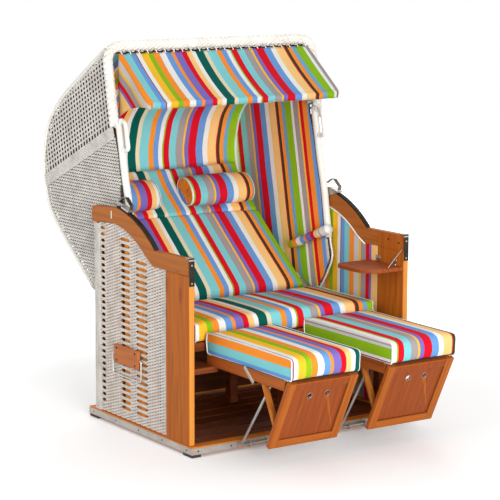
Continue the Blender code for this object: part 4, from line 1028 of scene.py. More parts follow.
# Hood lining: the same cloth, tacked inside the woven back and both cheeks, with white piping in the corners
# and a small white button high on the back.
BACK_SKIN = 0.0265
lining_line = offset(roof_line, BACK_SKIN)
LINING_HALF = 0.499
bm = bmesh.new()
lining_long = length_of(lining_line)
for vert in bmesh.ops.create_grid(bm, x_segments=36, y_segments=72, size=1)["verts"]:
    across, along = vert.co.x, (vert.co.y + 1) / 2
    place, way = at_length(lining_line, lining_long * along)
    vert.co = (across * (LINING_HALF + 0.001), *place)
BACK_SPREAD, BACK_CUT = 0.958, 0.6676
lay_cloth(bm, lambda face, co: (BACK_SPREAD * co.x + BACK_CUT, co.z + co.y))
for vert in bm.verts:
    vert.co.y += ruffle(vert.co, 6, 0.002) * (1 - (vert.co.x / 0.5) ** 4)
flip_outwards(bm, lambda middle: Vector((0, hood_middle.x - middle.y, hood_middle.y - middle.z)))
# The paler lining cloth carries painted light.
back_cloth = piece("back_lining", bm, lining_cloth_painted_light, "hood", "hood_lining", slot="striped_cloth")
# Behind the back's weave, the dark sheet of painted shade.
bm = bmesh.new()
shade_sheet_line = offset(roof_line, BACK_SKIN - 0.006)
for vert in bmesh.ops.create_grid(bm, x_segments=8, y_segments=72, size=1)["verts"]:
    place, way = at_length(shade_sheet_line, length_of(shade_sheet_line) * (vert.co.y + 1) / 2)
    vert.co = (vert.co.x * LINING_HALF, *place)
flip_outwards(bm, lambda middle: Vector((0, middle.y - hood_middle.x, middle.z - hood_middle.y)))
back_shade_sheet = piece("back_shade_sheet", bm, painted_shade_sheet, "hood")
length_of(shade_sheet_line)
CHEEK_CUT, CHEEK_SPREAD = 1.127, 0.83


def cheek_cut(face, co):
    aside = (co.y - PIVOT.x) * stake_way.y - (co.z - PIVOT.y) * stake_way.x
    return CHEEK_CUT - CHEEK_SPREAD * aside, co.z


for side, x in SIDES:
    # The cheek linings use the paler copy of the cloth, painted light.
    corners = side_front[:-1] + lining_line
    flat_cloth(f"cheek_lining_{side}", corners, x * LINING_HALF, cheek_cut, 0.0006, "hood", "hood_lining",
               material=lining_cloth_painted_light)
    # Behind the cheek's weave, the dark sheet of painted shade.
    corners = offset(side_front[:-1], 0.014) + lining_line
    flat_cloth(f"cheek_shade_sheet_{side}", corners, x * (HOOD_HALF - 0.0118), lambda face, co: (co.y, co.z), 0.0,
               "hood", material=painted_shade_sheet, slot=None)
    edge = placed(x * (LINING_HALF - 0.002), offset(roof_line, BACK_SKIN + 0.002)[2:-2])
    tube(f"corner_piping_{side}", edge, 0.0042, piping_cloth, "hood", sides=8)
button = bmesh.new()
place, way = at_length(lining_line, lining_long * 0.36)
square = Vector((way.y, -way.x))
knob(button, (-0.12, *(place + square * 0.002)), (1, 0.5, 1))
piece("lining_button", button, enamel, "hood")


# Cushions: foam in covers of the striped cloth, the seat's and the footrests' boxed and piped in white. The
# covers are pulled in between their corners, and a short cloth simulation under pressure fills them out.
def plump(made, pressure, cap, pinned, steps=12):
    """Blows a cover up a little with Cloth, its seams held, and caps how far any point moves."""
    rest = [vert.co.copy() for vert in made.data.vertices]
    held = made.vertex_groups.new(name="seams")
    held.add([k for k, fixed in enumerate(pinned) if fixed], 1, "REPLACE")
    modifier = made.modifiers.new("filling", "CLOTH")
    settings = modifier.settings
    settings.quality = 5
    settings.mass = 0.25
    settings.use_pressure = True
    settings.uniform_pressure_force = pressure
    settings.vertex_group_mass = "seams"
    settings.effector_weights.gravity = 0
    modifier.point_cache.frame_start = 1
    modifier.point_cache.frame_end = steps
    for step in range(1, steps + 1):
        bpy.context.scene.frame_set(step)
    solved = made.evaluated_get(bpy.context.evaluated_depsgraph_get()).to_mesh()
    moved = [vert.co.copy() for vert in solved.vertices]
    made.modifiers.remove(modifier)
    made.vertex_groups.remove(held)
    bpy.context.scene.frame_set(1)
    for vert, start, end in zip(made.data.vertices, rest, moved):
        shift = end - start
        vert.co = start + shift * min(1.0, cap / max(shift.length, 1e-6))
    made.data.update()


def sewn(mesh):
    """For each corner of a cover, whether it lies on a seam."""
    pinned = [False] * len(mesh.vertices)
    for edge in mesh.edges:
        if edge.use_seam:
            pinned[edge.vertices[0]] = pinned[edge.vertices[1]] = True
    return pinned


def rounded(made):
    """Rounds a cover with one level of subdivision."""
    surface = made.modifiers.new("cover", "SUBSURF")
    surface.levels = surface.render_levels = 1


def seam_loops(mesh):
    """The sewn edges of a cover as rings of places."""
    beside = {}
    for edge in mesh.edges:
        if edge.use_seam:
            a, b = edge.vertices
            beside.setdefault(a, []).append(b)
            beside.setdefault(b, []).append(a)
    loops = []
    while beside:
        start = next(iter(beside))
        ring, at, before = [start], beside[start][0], start
        while at != start:
            ring.append(at)
            at, before = next(k for k in beside[at] if k != before), at
        for k in ring:
            del beside[k]
        loops.append([mesh.vertices[k].co.copy() for k in ring])
    return loops


def cover(name, size, cuts, carry, body, node, materials, crown=0.07, draw=0.02, cut=None, pressure=3.0,
          cap=0.006, grooves=(), crease=0.5, curl=(1.0, 0.0), piped=True):
    """A cushion with its underside at zero and Z its thickness, laid in place by a matrix: one length of
    cloth rolls over the front, and seams join it to the side panels. curl lifts its rear end off."""
    bm = bmesh.new()
    bmesh.ops.create_cube(bm, size=2)
    for axis, count in enumerate(cuts):
        way = Vector((axis == 0, axis == 1, axis == 2))
        for k in range(1, count):
            slice_at(bm, way * (2 * k / count - 1), way)
    half = Vector(size) / 2
    for at, _ in grooves:
        for beside in (-0.012, -0.004, 0.004, 0.012):
            slice_at(bm, (0, (at + beside) / half.y, 0), (0, 1, 0))
    bm.normal_update()
    lift = Vector((0, 0, half.z))
    lay_cloth(bm, lambda face, co: cut(face.normal, co * half + lift))
    for face in bm.faces:
        face.material_index = int(abs(face.normal.x) > 0.5 and len(materials) > 1)
    sharp = bm.edges.layers.float.new("crease_edge")
    for edge in bm.edges:
        if edge.calc_face_angle(0) > 1:
            edge.seam = len({abs(face.normal.x) > 0.5 for face in edge.link_faces}) == 2
            edge[sharp] = crease if edge.seam else 0.12
    narrow = min(size[0], size[1])
    for vert in bm.verts:
        u, v, w = vert.co
        belly = (1 - u ** 4) * (1 - v ** 4)
        middle = 1 - w * w
        pull = draw * narrow
        tuck = ruffle((u * size[0] * 9, v * size[1] * 9, w), 4, 0.004) * middle
        lifted = curl[1] * max(0.0, (v - curl[0]) / max(1 - curl[0], 1e-6)) ** 2
        vert.co = (half.x * u - (pull * (1 - v * v) * (1 - middle) + tuck) * u,
                   half.y * v - (pull * (1 - u * u) * (1 - middle) + tuck) * v,
                   half.z * (w + 1) - size[2] * crown * (1 - belly) * max(w, 0) + lifted)
    mesh = bpy.data.meshes.new(name)
    bm.to_mesh(mesh)
    bm.free()
    rough = show(bpy.data.objects.new(name, mesh))
    rounded(rough)
    fine = bpy.data.meshes.new_from_object(rough.evaluated_get(bpy.context.evaluated_depsgraph_get()))
    bpy.data.objects.remove(rough)
    fine.transform(carry)
    bm = bmesh.new()
    bm.from_mesh(fine)
    made = piece(name, bm, materials, None)
    back_in = carry.inverted()
    underneath = [(back_in @ vert.co).z < 0.002 for vert in made.data.vertices]
    plump(made, pressure, cap, [a or b for a, b in zip(sewn(made.data), underneath)])
    for vert in made.data.vertices:
        place = back_in @ vert.co
        sunk = sum(deep * 2.718 ** (-((place.y - at) / 0.0065) ** 2) for at, deep in grooves)
        if place.z > size[2] / 2:
            place.z -= sunk
        vert.co = carry @ place
    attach(made, body)
    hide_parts(node)
    rounded(made)
    if not piped:
        return [made]
    cords = bmesh.new()
    for ring in seam_loops(made.data):
        middle = sum(ring, Vector()) / len(ring)
        near_side = (back_in @ middle).x < 0
        bulge = 0.0016 if near_side else 0.0
        shift = Vector((bulge * 0.7, 0, 0))
        ring = [point + (point - middle).normalized() * bulge - shift for point in ring]
        sweep(cords, ring, 0.0031 if near_side else 0.0018, 6, closed=True, start_out=(1, 0, 0))
    return [made, closed_piece(f"{name}_piping", cords, piping_cloth, body)]


low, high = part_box("seat_cushion")
span = high - low
seat_boxing = striped("seat boxing", (("white", 10), ("red", 7), ("lilac", 53), ("pale grey", 30)))
SEAT_HALF, SEAT_SPREAD, SEAT_CUT = 0.458, 0.927, 0.7055


def seat_cut(way, co):
    if abs(way.x) > 0.5:
        return span.z - co.z, co.y
    return SEAT_SPREAD * co.x + SEAT_CUT, co.y - co.z


carry = Matrix.Translation(((low.x + high.x) / 2, (low.y + high.y) / 2, low.z))
cover("seat_cushion_cover", (2 * SEAT_HALF, span.y, span.z), (24, 12, 4), carry, "root", "seat_cushion",
      [cloth, seat_boxing], crown=0.09, draw=0.012, cut=seat_cut)

TILT = radians(39)
along_back = Vector((cos(TILT), sin(TILT)))
up_back = Vector((-along_back.y, along_back.x))
skin_end = offset(hood_back_line, BACK_SKIN)[-1]
back_start = skin_end + up_back * 0.0005 - along_back * 0.20
BACK_LONG, BACK_THICK, BACK_WIDE = 0.768, 0.0915, 0.90
carry = Matrix.Translation((0, *(back_start + along_back * BACK_LONG / 2))) @ Matrix.Rotation(TILT, 4, "X")
cover("back_cushion_cover", (BACK_WIDE, BACK_LONG, BACK_THICK), (22, 18, 4), carry, "hood", "back_cushion",
      [cloth], crown=0.08, draw=0.014, cut=lambda way, co: (co.x + CUT_AT, co.y - co.z),
      grooves=((0.48 - BACK_LONG / 2, 0.011),), curl=(0.62, 0.033), piped=False)

# Head pillows: two bolsters of the same cloth, with a gathered and piped disc at each end, laid high on the
# back cushion.
gathered = striped("gathered ends", (("blue", 60), ("orange", 90)), folds=0.9)
pillow_rest = back_start + along_back * 0.572 + up_back * (BACK_THICK + 0.0005 - 0.0068)
PILLOW_NEAR = {"left": 0.107, "right": 0.062}
PILLOW_LONG, PILLOW_HIGH, PILLOW_THICK = 0.340, 0.160, 0.120
for side, x in SIDES:
    bm = bmesh.new()
    turned = Matrix.Rotation(pi / 2, 3, "Y")
    bmesh.ops.create_cone(bm, cap_ends=True, segments=40, radius1=1, radius2=1, depth=2)
    for cap in [face for face in bm.faces if abs(face.normal.z) > 0.9]:
        for share in (0.16, 0.3, 0.3, 0.18):
            bmesh.ops.inset_region(bm, faces=[cap], thickness=share, depth=0)
    bmesh.ops.rotate(bm, cent=(0, 0, 0), matrix=turned, verts=bm.verts)
    for k in range(1, 20):
        slice_at(bm, (k / 10 - 1, 0, 0), (1, 0, 0))
    middle_x = x * (PILLOW_NEAR[side] + PILLOW_LONG / 2)

    def pillow_cut(face, co):
        if abs(face.normal.x) > 0.5:
            return 0.06 + 0.05 * (co.z + 0.45), co.y * 0.06
        return co.x * PILLOW_LONG / 2 + middle_x + CUT_AT, co.z * PILLOW_THICK

    bm.normal_update()
    lay_cloth(bm, pillow_cut)
    for face in bm.faces:
        face.material_index = int(abs(face.normal.x) > 0.5)
    for edge in bm.edges:
        edge.seam = len(edge.link_faces) == 2 and len({face.material_index for face in edge.link_faces}) == 2
    carry = Matrix.Translation((middle_x, *pillow_rest)) @ Matrix.Rotation(TILT, 4, "X")
    for vert in bm.verts:
        round_at = hypot(vert.co.y, vert.co.z)
        angle = 0 if round_at < 1e-5 else Vector((vert.co.y, vert.co.z)).angle_signed(Vector((1, 0)))
        pleat = sin(angle * 10) * 0.0036 * round_at * (1 - round_at) * 4 if abs(vert.co.x) > 0.99 else 0
        swell = 0.90 + 0.10 * (1 - abs(vert.co.x) ** 5) if round_at > 0.9 else 0.90
        dish = (1 - round_at) * 0.008
        vert.co = (vert.co.x * (PILLOW_LONG / 2 - dish + pleat), vert.co.y * swell * PILLOW_HIGH / 2,
                   PILLOW_THICK / 2 + vert.co.z * swell * PILLOW_THICK / 2)
        vert.co.z = max(vert.co.z, 0.004 + ruffle(vert.co, 30, 0.001))
    bmesh.ops.transform(bm, matrix=carry, verts=bm.verts)
    pillow = piece(f"head_pillow_cover_{side}", bm, [cloth, gathered], None, slot="striped_cloth")
    plump(pillow, 3.0, 0.005, sewn(pillow.data))
    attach(pillow, "hood")
    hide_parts(f"head_pillow_{side}")
    rounded(pillow)
    cords = bmesh.new()
    for ring in seam_loops(pillow.data):
        sweep(cords, ring, 0.0016, 6, closed=True)
    closed_piece(f"head_pillow_piping_{side}", cords, piping_cloth, "hood")

# Arm pads: short padded rolls on the front posts, with a white plug at the upper end. The stripes of their
# cloth run round the roll.
PAD_RADIUS, PAD_SPREAD, PAD_CUT = 0.021, 0.94, 0.316
for side, x in SIDES:
    ends = [hood_point(share) for share in ((0.098, 0.215), (-0.142, 0.308))]
    pad_x = x * (POST_X - POST_RADIUS - 0.0005 - PAD_RADIUS)
    run = [Vector((pad_x, *ends[0].lerp(ends[1], k / 24))) for k in range(25)]
    whole = length_of(run)
    bm = bmesh.new()
    sweep(bm, run, lambda at: PAD_RADIUS * min(1, 0.72 + at / 0.03, 0.72 + (whole - at) / 0.03) - 0.0006
          + ruffle((at, x, 0), 60, 0.0008), 20)
    grid = bm.loops.layers.uv.verify()
    for face in bm.faces:
        for loop in face.loops:
            loop[grid].uv = (loop[grid].uv.y * PAD_SPREAD + PAD_CUT, loop[grid].uv.x * 0.13)
    pad = closed_piece(f"arm_pad_cover_{side}", bm, cloth, "hood", f"arm_pad_{side}", slot="striped_cloth")
    plug = run[-5:] + [run[-1] + (run[-1] - run[-2]).normalized() * 0.003]
    tube(f"arm_pad_plug_{side}", plug, 0.0218, enamel, "hood", sides=20)

# Awning: a steel bow hinged inside the cheeks holds out one piece of the cloth, laced to the rim in small
# scallops. Its front edge is turned round the bow and stitched, and its sides fall to the bow's arms.
AWNING_REACH, AWNING_RISE = 0.2548, radians(19.5)
BOW_RADIUS, BOW_BEND = 0.007, 0.03
AWNING_HALF = LINING_HALF - 0.020
hinge = hood_point((0.0175, 0.7358))
arm_way = Vector((-cos(AWNING_RISE), sin(AWNING_RISE)))
bow_front = hinge + arm_way * AWNING_REACH
bow_face = LINING_HALF - 0.0005
route = [(-bow_face, *hinge), (-AWNING_HALF, *hinge), (-AWNING_HALF, *bow_front), (AWNING_HALF, *bow_front),
         (AWNING_HALF, *hinge), (bow_face, *hinge)]
tube("awning_rod", bent(route, BOW_BEND, 8), BOW_RADIUS, bright_steel, "awning", "awning_bow", slot="steel")
for side, x in SIDES:
    cap = [Vector((x * reach, *hinge)) for reach in (bow_face - 0.007, bow_face)]
    tube(f"awning_cap_{side}", cap, 0.0125, enamel, "hood", sides=20)

CLOTH_EDGE = AWNING_HALF + 0.010
HEM_DROP, HEM_SEAM, EYELETS = 0.024, 0.022, 22
cloth_top = hood_point((0.0187, 0.965))
slope = (bow_front - cloth_top).normalized()
outward = Vector((slope.y, -slope.x))
outward = outward if outward.y > 0 else -outward
cloth_low = bow_front + outward * 0.010 + slope * BOW_RADIUS
drop_long = (cloth_top - cloth_low).length
hem_z = cloth_low.y - HEM_DROP
rises = [0, 0.007, 0.014, HEM_SEAM - 0.002, HEM_SEAM, HEM_SEAM + 0.002]
rises += [HEM_SEAM + 0.002 + (drop_long - HEM_SEAM - 0.002) * k / 22 for k in range(1, 23)]
SKIRT, ACROSS = 8, 132
bm = bmesh.new()
bmesh.ops.create_grid(bm, x_segments=ACROSS + 2 * SKIRT, y_segments=len(rises) - 1, size=1)
grid = bm.loops.layers.uv.verify()
cut_at = {}
for vert in bm.verts:
    column = round((vert.co.x + 1) / 2 * (ACROSS + 2 * SKIRT)) - SKIRT
    rise = rises[round((vert.co.y + 1) / 2 * (len(rises) - 1))]
    v = rise / drop_long
    u = min(max(column, 0), ACROSS) / ACROSS * 2 - 1
    down = max(-column, column - ACROSS, 0) / SKIRT
    sag = 0.012 * 4 * v * (1 - v) * (1 - u ** 4) * (1 + 0.3 * v)
    gather = 0.0016 * sin(pi * EYELETS * (u + 1)) * v ** 4 + 0.0010 * sin(u * 31) * (1 - v)
    spot = cloth_low.lerp(cloth_top, v) - outward * (sag - gather)
    scallop = 0.008 * abs(sin(pi * EYELETS * (u + 1) / 2)) ** 0.8 * max(0, (v - 0.9) / 0.1) ** 2
    spot += slope * scallop
    spot += outward * 0.0012 * (rise < HEM_SEAM) - outward * 0.0008 * (abs(rise - HEM_SEAM) < 0.001)
    inset = Vector((BOW_BEND - rise, BOW_BEND - (1 - abs(u)) * CLOTH_EDGE))
    place = Vector((u * CLOTH_EDGE, *spot))
    if min(inset) > 0:
        shift = inset * (1 - max(inset) / inset.length)
        place += Vector((-shift.y * (1 if u > 0 else -1), *(-slope * shift.x)))
    over_arm = hinge.y + (place.y - hinge.x) * arm_way.y / arm_way.x + 2 * BOW_RADIUS
    end = min(hem_z + (over_arm - hem_z) * v, place.z - HEM_DROP)
    fall = (place.z - end) * down
    fold = 0.004 * sin(pi * min(1, down * 1.4)) * sin(v * 9 + u)
    vert.co = place + Vector(((1 if u > 0 else -1) * fold * (down > 0), 0, -fall))
    cut_at[vert.index] = (u * CLOTH_EDGE + CUT_AT + (fall if u > 0 else -fall), rise)
for face in bm.faces:
    for loop in face.loops:
        loop[grid].uv = cut_at[loop.vert.index]
bm.verts.ensure_lookup_table()
at_front = {vert for vert in bm.verts if cut_at[vert.index][1] == 0 and abs(vert.co.z - cloth_low.y) < 0.006}
front_edges = [edge for edge in bm.edges if edge.is_boundary and at_front.issuperset(edge.verts)]
for share in (0.35, 0.65):
    grown = bmesh.ops.extrude_edge_only(bm, edges=front_edges)["geom"]
    fresh = [item for item in grown if isinstance(item, bmesh.types.BMVert)]
    bmesh.ops.translate(bm, vec=(0, 0.0015, -HEM_DROP * share), verts=fresh)
    front_edges = [item for item in grown if isinstance(item, bmesh.types.BMEdge) and item.is_boundary
                   and all(vert in fresh for vert in item.verts)]
# The awning's cloth is the darker copy, painted shade.
awning_cover = closed_piece("awning_cover", bm, awning_cloth_painted_shade, None, "awning_cloth", slot="striped_cloth")
wall = awning_cover.modifiers.new("cloth", "SOLIDIFY")
wall.thickness = 0.0018
wall.offset = 0
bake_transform(awning_cover)
laces = bmesh.new()
for k in range(EYELETS + 1):
    x = (2 * k / EYELETS - 1) * (CLOTH_EDGE - 0.012)
    ways = (slope * 0.009 + outward * 0.002, outward * 0.004, slope * -0.022)
    sweep(laces, placed(x, [cloth_top + way for way in ways]), 0.0022, 6)
closed_piece("awning_laces", laces, enamel, "hood")

# Pillow buttons: two white loops over black buttons hold the pillows to the back cushion. They sit side by
# side at the cushion's upper edge.
loops = bmesh.new()
knobs = bmesh.new()
for middle in (-0.02, 0.02):
    spot = back_start + along_back * (BACK_LONG - 0.035) + up_back * (BACK_THICK - 0.002)
    points = [spot + along_back * 0.03 * k - up_back * 0.003 * abs(k) for k in (-1, 0, 1)]
    sweep(loops, placed(middle, points), 0.003, 6)
    knob(knobs, (middle, *(spot + up_back * 0.004)), (1, 1, 0.55))
closed_piece("pillow_loops", loops, enamel, "hood")
piece("pillow_buttons", knobs, glide_plastic, "hood")

# Folding table: a small board of darker oiled wood, hinged to the right wall, with its free corners rounded
# and a steel wire from the wall to hold it up.
HINGE_X = BOARD_INSIDE
TABLE_WIDE, TABLE_LONG, TABLE_TOP, TABLE_THICK, CORNER = 0.190, 0.235, 0.68, 0.018, 0.09
table_front = nose + 0.001
free, rear = HINGE_X - TABLE_WIDE, table_front + TABLE_LONG
shape = [(HINGE_X, table_front), (HINGE_X, rear)]
shape += [(free + CORNER / 3 - CORNER / 3 * sin(a), rear - CORNER / 3 + CORNER / 3 * cos(a))
          for a in (pi / 2 * k / 6 for k in range(7))]
shape += [(free + CORNER - CORNER * cos(a), table_front + CORNER - CORNER * sin(a))
          for a in (pi / 2 * k / 12 for k in range(13))]
bm = bmesh.new()
top = bm.faces.new([bm.verts.new((*corner, TABLE_TOP)) for corner in shape])
grow(bm, [top], (0, 0, -TABLE_THICK))
bmesh.ops.recalc_face_normals(bm, faces=bm.faces)
rims = [edge for edge in bm.edges if abs(edge.verts[0].co.z - edge.verts[1].co.z) < 1e-6]
ease_edges(bm, rims, 0.003, 3)
table_wood = wood("table wood", tint(166, 80, 26), tint(120, 50, 14), "y", 0.2)
piece("table_top", bm, table_wood, "table", "table_board", slot="oiled_wood", smooth=False)
hinges = bmesh.new()
for y in (table_front + 0.045, rear - 0.075):
    knuckle = [Vector((HINGE_X - 0.001, y + 0.01 * k, TABLE_TOP + 0.0024)) for k in range(4)]
    sweep(hinges, knuckle, 0.0028, 12)
    block(hinges, (HINGE_X - 0.0012, y, TABLE_TOP + 0.003), (HINGE_X, y + 0.03, TABLE_TOP + 0.026), 0.0004)
closed_piece("table_hinges", hinges, bright_steel, "root")
STAY_TOP, STAY_ROD = 0.757, 0.0018
stay_wall = Vector((HINGE_X - STAY_ROD - 0.0005, table_front + 0.004, STAY_TOP))
stay_foot = Vector((HINGE_X - TABLE_WIDE * 0.41, table_front + 0.005, TABLE_TOP + 0.0005 + STAY_ROD))
stay = tube("table_wire", evened([stay_wall, stay_foot], 0.006), STAY_ROD, steel, None, "table_stay",
            sides=8, slot="steel")
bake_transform(stay)

# Clamps: a stainless bracket on each post carries a shoe that bites the toothed strip, shut by a bent strap
# lever. The hood turns on a steel rod through both walls.
dress(steel, "clamp_left", "clamp_right", "pivot_rod")
LEVER_PIN = arc_point(ARC_RADIUS + 0.02105, 16.5)
LEVER_SHAPE = ((0.0, 0.0), (-0.001, 0.019), (0.045, 0.040), (0.066, 0.035), (0.098, 0.003))
LEVER_HALF, LEVER_THICK = 0.009, 0.0034
lever_steel = metal("clamp lever steel", tint(150, 144, 138), tint(70, 64, 58), 0.2, "x")
lever_back = Vector((cos(radians(13.5)), sin(radians(13.5))))
lever_rise = Vector((-lever_back.y, lever_back.x))
clamp_under = ARC_RADIUS + 0.0015 + 0.0055
BAR_LOW, BAR_HIGH = Vector((0.5257, 0.190, 0.955)), Vector((0.5285, 0.206, 1.046))
KEY_OUT, KEY_HALF, KEY_HIGH = 0.0006, 0.0035, 0.034
for side, x in SIDES:
    bolt_x = x * (HOOD_HALF + 0.0035)
    bolts = [arc_point(clamp_under - 0.014, 7), arc_point(clamp_under - 0.006, 13)]
    heads = [(bolt_x, *spot) for spot in bolts]
    screws(f"clamp_bolts_{side}", heads, (x, 0, 0), "hood", bright_steel, 0.006)
    low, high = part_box(f"clamp_lever_{side}")
    pin_x = (low.x + high.x) / 2
    bend = [LEVER_PIN + lever_back * b + lever_rise * r for b, r in LEVER_SHAPE]
    lever = bmesh.new()
    rows = [[lever.verts.new((pin_x + way * LEVER_HALF, *point)) for point in bend] for way in (-1, 1)]
    strip = [lever.faces.new((a, b, c, d)) for a, b, c, d in zip(rows[0], rows[0][1:], rows[1][1:], rows[1])]
    bmesh.ops.recalc_face_normals(lever, faces=lever.faces)
    bmesh.ops.solidify(lever, geom=strip, thickness=LEVER_THICK)
    made = closed_piece(f"lever_strap_{side}", lever, lever_steel, f"lever_{side}", f"clamp_lever_{side}",
                 slot="steel", smooth=False)
    eased = made.modifiers.new("eased edges", "BEVEL")
    eased.width, eased.segments, eased.limit_method = 0.0008, 2, "ANGLE"
    across = Vector((LEVER_HALF + 0.0012, 0, 0))
    bolts = bmesh.new()
    for point in (bend[0], bend[1]):
        spot = Vector((pin_x, *(point + lever_back * 0.003)))
        sweep(bolts, [spot - across, spot + across], 0.0042, 12)
    closed_piece(f"lever_bolts_{side}", bolts, steel, f"lever_{side}")
    bar = bmesh.new()
    block(bar, (x * BAR_LOW.x, *BAR_LOW.yz), (x * BAR_HIGH.x, *BAR_HIGH.yz), 0.0008)
    piece(f"clamp_bar_{side}", bar, dark_steel, "hood", smooth=False)
    key_y = FRONT + 0.635
    key_top = height_at(rail_line, key_y) - 0.014
    key = bmesh.new()
    block(key, (x * BASE_HALF, key_y - KEY_HALF, key_top - KEY_HIGH),
          (x * (BASE_HALF + KEY_OUT), key_y + KEY_HALF, key_top), 0.0002)
    piece(f"rail_key_{side}", key, enamel, "root", smooth=False)

# Carrying handles: a wooden plate screwed to each side wall, with a steel bail that hangs from its ends.
PLATE_Y, PLATE_Z, PLATE_GAP, PLATE_OUT = FRONT + 0.5, 0.33, 0.0003, 0.014
near, far, drop = 0.1003, 0.1163, 0.09
for side, x in SIDES:
    axis_x = x * (BASE_HALF + PLATE_GAP + PLATE_OUT / 2)
    route = [(axis_x, PLATE_Y + y, PLATE_Z + z) for y, z in
             ((-near, 0), (-far, 0), (-far, -drop), (far, -drop), (far, 0), (near, 0))]
    tube(f"bail_rod_{side}", bent(route, 0.016, 6), 0.004, bright_steel, f"bail_{side}",
         f"carry_bail_{side}", slot="steel")
    plate_face = x * (BASE_HALF + PLATE_GAP + PLATE_OUT)
    heads = [(plate_face, PLATE_Y + y, PLATE_Z + z) for y in (-0.075, 0.075) for z in (-0.026, 0.026)]
    screws(f"plate_screws_{side}", heads, (x, 0, 0), "root", radius=BIG_SCREW)

# Footrests: a frame on runners under the seat carries a boxed cushion. A framed panel hangs from its front
# edge, with two finger holes, braces of wood behind it and a steel bow up from the sill.
PANEL_TILT = radians(26.3)
PANEL_WIDE, PANEL_THICK, PANEL_HIGH, STILE, RECESS = 0.3355, 0.020, 0.320, 0.036, 0.0065
upright_wood = wood("panel stile wood", tint(182, 98, 30), tint(150, 74, 18), "z", 0.1, lean=-PANEL_TILT)
cross_wood = wood("panel rail wood", tint(182, 98, 30), tint(150, 74, 18), "x", 0.1)
field_wood = wood("panel field wood", tint(158, 76, 26), tint(128, 56, 16), "z", 0.3, lean=-PANEL_TILT)
# Painted shade: thin strips of very dark wood colour round the inside of each panel frame stand for the
# shade along the recess.
recess_shade_wood = wood("panel moulding wood", tint(116, 54, 20), tint(84, 36, 12), "x", 0.1)
frame_wood = wood("footrest frame wood", tint(178, 94, 34), tint(130, 60, 20), "y", 0.3)
brace_wood = wood("brace wood", tint(206, 122, 48), tint(160, 84, 28), "z", 0.1)
BOXING = (("white", 8), ("grey", 8), ("pale grey", 12), ("green", 46), ("white", 12), ("dark red", 20))
boxing_cloth = striped("right boxing", BOXING)
SHADE_STRIP = 0.0042
FINGER_X, FINGER_Z, FINGER_RADIUS, RING_RADIUS = 0.0425, -0.075, 0.0125, 0.0128
FOOT_X, FOOT_TOP = 0.254, 0.399
black_edge = wicker("black edge strip", tint(40, 38, 37), tint(26, 25, 24), 0.5)


def holed_board(bm, low, high, thick, holes, radius):
    """An upright board between two corners in X and Z, its front face at Y zero, with round holes."""
    corners = [(low[0], low[1]), (high[0], low[1]), (high[0], high[1]), (low[0], high[1])]
    made = [bm.verts.new((x, 0, z)) for x, z in corners]
    edges = [bm.edges.new((a, b)) for a, b in zip(made, made[1:] + made[:1])]
    for x, z in holes:
        rim = bmesh.ops.create_circle(bm, segments=28, radius=radius)["verts"]
        turned = Matrix.Translation((x, 0, z)) @ Matrix.Rotation(pi / 2, 4, "X")
        bmesh.ops.transform(bm, matrix=turned, verts=rim)
        edges += list({edge for vert in rim for edge in vert.link_edges})
        made += rim
    face = bmesh.ops.triangle_fill(bm, use_beauty=True, use_dissolve=False, edges=edges)["geom"]
    face = [item for item in face if isinstance(item, bmesh.types.BMFace)]
    return made + grow(bm, face, (0, thick, 0))


def paint(bm, start, index):
    """Gives the faces from this one on a material."""
    bm.faces.ensure_lookup_table()
    for face in bm.faces[start:]:
        face.material_index = index


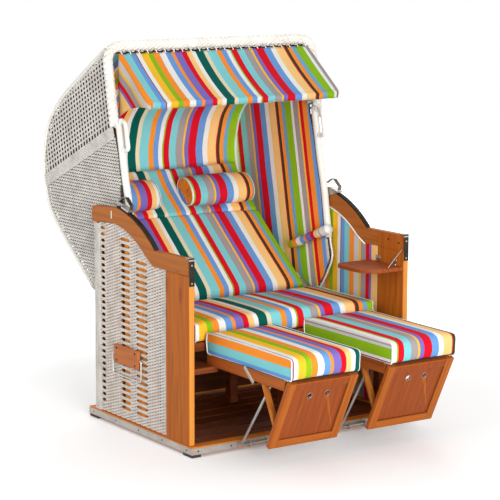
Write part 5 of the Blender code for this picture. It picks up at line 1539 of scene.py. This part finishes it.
FOOTRESTS = (("left", -1, 0.0, 0.6845, 0.0), ("right", 1, 0.023, 0.6385, 0.4))
for side, x, pushed_in, cloth_from, long_from in FOOTRESTS:
    front = FRONT + pushed_in - 0.489
    middle = x * FOOT_X
    top = FOOT_TOP
    hinge_y, hinge_z = front + PANEL_THICK / 2, top - PANEL_THICK / 2
    carry = Matrix.Translation((middle, hinge_y, hinge_z)) @ Matrix.Rotation(PANEL_TILT, 4, "X")
    bm = bmesh.new()
    half, face_y = PANEL_WIDE / 2, -PANEL_THICK / 2
    for low_x, high_x in ((-half, STILE - half), (half - STILE, half)):
        block(bm, (low_x, face_y, -PANEL_HIGH - 0.0005), (high_x, face_y + PANEL_THICK, -0.0005), 0.0018)
    upright_faces = len(bm.faces)
    for low_z in (-PANEL_HIGH - 0.0005, -STILE - 0.0005):
        block(bm, (STILE - half, face_y, low_z), (half - STILE, face_y + PANEL_THICK, low_z + STILE), 0.0018)
    paint(bm, upright_faces, 1)
    frame_faces = len(bm.faces)
    low_corner = (STILE - half - 0.001, STILE - PANEL_HIGH - 0.001)
    high_corner = (half - STILE + 0.001, 0.0005 - STILE)
    fingers = [(k * FINGER_X, FINGER_Z) for k in (-1, 1)]
    field_verts = holed_board(bm, low_corner, high_corner, PANEL_THICK - 2 * RECESS, fingers, FINGER_RADIUS)
    bmesh.ops.translate(bm, vec=(0, face_y + RECESS, 0), verts=field_verts)
    paint(bm, frame_faces, 2)
    # Dark strips of painted shade along the recess's edges.
    shade_strip_faces = len(bm.faces)
    near_x, far_x, near_z, far_z = STILE - half, half - STILE, STILE - PANEL_HIGH - 0.0005, -STILE - 0.0005
    shade_strips = ((near_x, near_x + SHADE_STRIP, near_z, far_z), (far_x - SHADE_STRIP, far_x, near_z, far_z),
                (near_x, far_x, near_z, near_z + SHADE_STRIP), (near_x, far_x, far_z - SHADE_STRIP, far_z))
    for low_x, high_x, low_z, high_z in shade_strips:
        block(bm, (low_x, face_y + RECESS - 0.002, low_z), (high_x, face_y + RECESS + 0.001, high_z), 0.0008)
    paint(bm, shade_strip_faces, 3)
    bmesh.ops.recalc_face_normals(bm, faces=bm.faces)
    bmesh.ops.transform(bm, matrix=carry, verts=bm.verts)
    piece(f"panel_boards_{side}", bm, [upright_wood, cross_wood, field_wood, recess_shade_wood], f"panel_{side}",
          f"footrest_panel_{side}", slot="oiled_wood", smooth=False)
    rims = bmesh.new()
    for k in (-1, 1):
        for face_at in (face_y + RECESS, face_y + PANEL_THICK - RECESS):
            hole = Vector((k * FINGER_X, face_at, FINGER_Z))
            ring = [carry @ (hole + RING_RADIUS * Vector((cos(a), 0, sin(a))))
                    for a in (2 * pi * step / 28 for step in range(28))]
            sweep(rims, ring, 0.0011, 6, closed=True, start_out=carry.to_3x3() @ Vector((0, 1, 0)))
    closed_piece(f"finger_rims_{side}", rims, steel, f"panel_{side}")
    dress(frame_wood, f"footrest_frame_{side}")
    dress(brace_wood, f"footrest_brace_{side}")

    body = f"footrest_{side}"
    strip = bmesh.new()
    strip_top = top + 0.0022
    block(strip, (middle - half, front + 0.001, top - 0.0005),
          (middle + half, front + 0.012, strip_top), 0.0008)
    for edge_x in (middle - half, middle + half - 0.006):
        block(strip, (edge_x, front + 0.012, top), (edge_x + 0.006, front + 0.56, strip_top), 0.0008)
    piece(f"cushion_strip_{side}", strip, black_edge, body, smooth=False)
    straps = bmesh.new()
    for k in (-1, 1):
        outer = middle + k * (half + 0.0002)
        ends = [Vector((outer, FRONT + pushed_in - 0.174, 0.398)),
                Vector((outer, FRONT + pushed_in - 0.240, 0.345))]
        sweep(straps, [ends[0], ends[0].lerp(ends[1], 0.5), ends[1]], 0.0095, 4, flat=0.08)
    closed_piece(f"rail_straps_{side}", straps, aluminium, body, smooth=False)

    long, wide, high = 0.6015, 0.3295, 0.094
    rest_z = top + 0.0003
    carry = Matrix.Translation((middle, front - 0.009 + long / 2, rest_z))
    boxing = cloth if x < 0 else boxing_cloth
    side_cut = 0.169 if x < 0 else 0.0

    def cut(way, co):
        if abs(way.x) > 0.5:
            return side_cut + high - co.z, co.y
        return co.x + middle + cloth_from, co.y + long_from - (co.z if abs(way.y) > 0.5 else 0)

    soft = cover(f"foot_cushion_{side}", (wide, long, high), (10, 16, 4), carry, body,
                 f"footrest_cushion_{side}", [cloth, boxing], crown=0.05, draw=0.010, cut=cut,
                 crease=0.75)
    for made in soft:
        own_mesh(made)

    head_y = front + 0.2262
    foot_y, foot_z, bow_long, bow_half = FRONT - 0.026, 0.030, 0.40, 0.084
    head_z = foot_z + (bow_long ** 2 - (foot_y - head_y) ** 2) ** 0.5
    route = [(middle - bow_half, head_y, head_z), (middle - bow_half, foot_y, foot_z),
             (middle + bow_half, foot_y, foot_z), (middle + bow_half, head_y, head_z)]
    tube(f"bow_rod_{side}", bent(route, 0.02, 6), 0.006, steel, f"bow_{side}", f"footrest_bow_{side}",
         slot="steel")
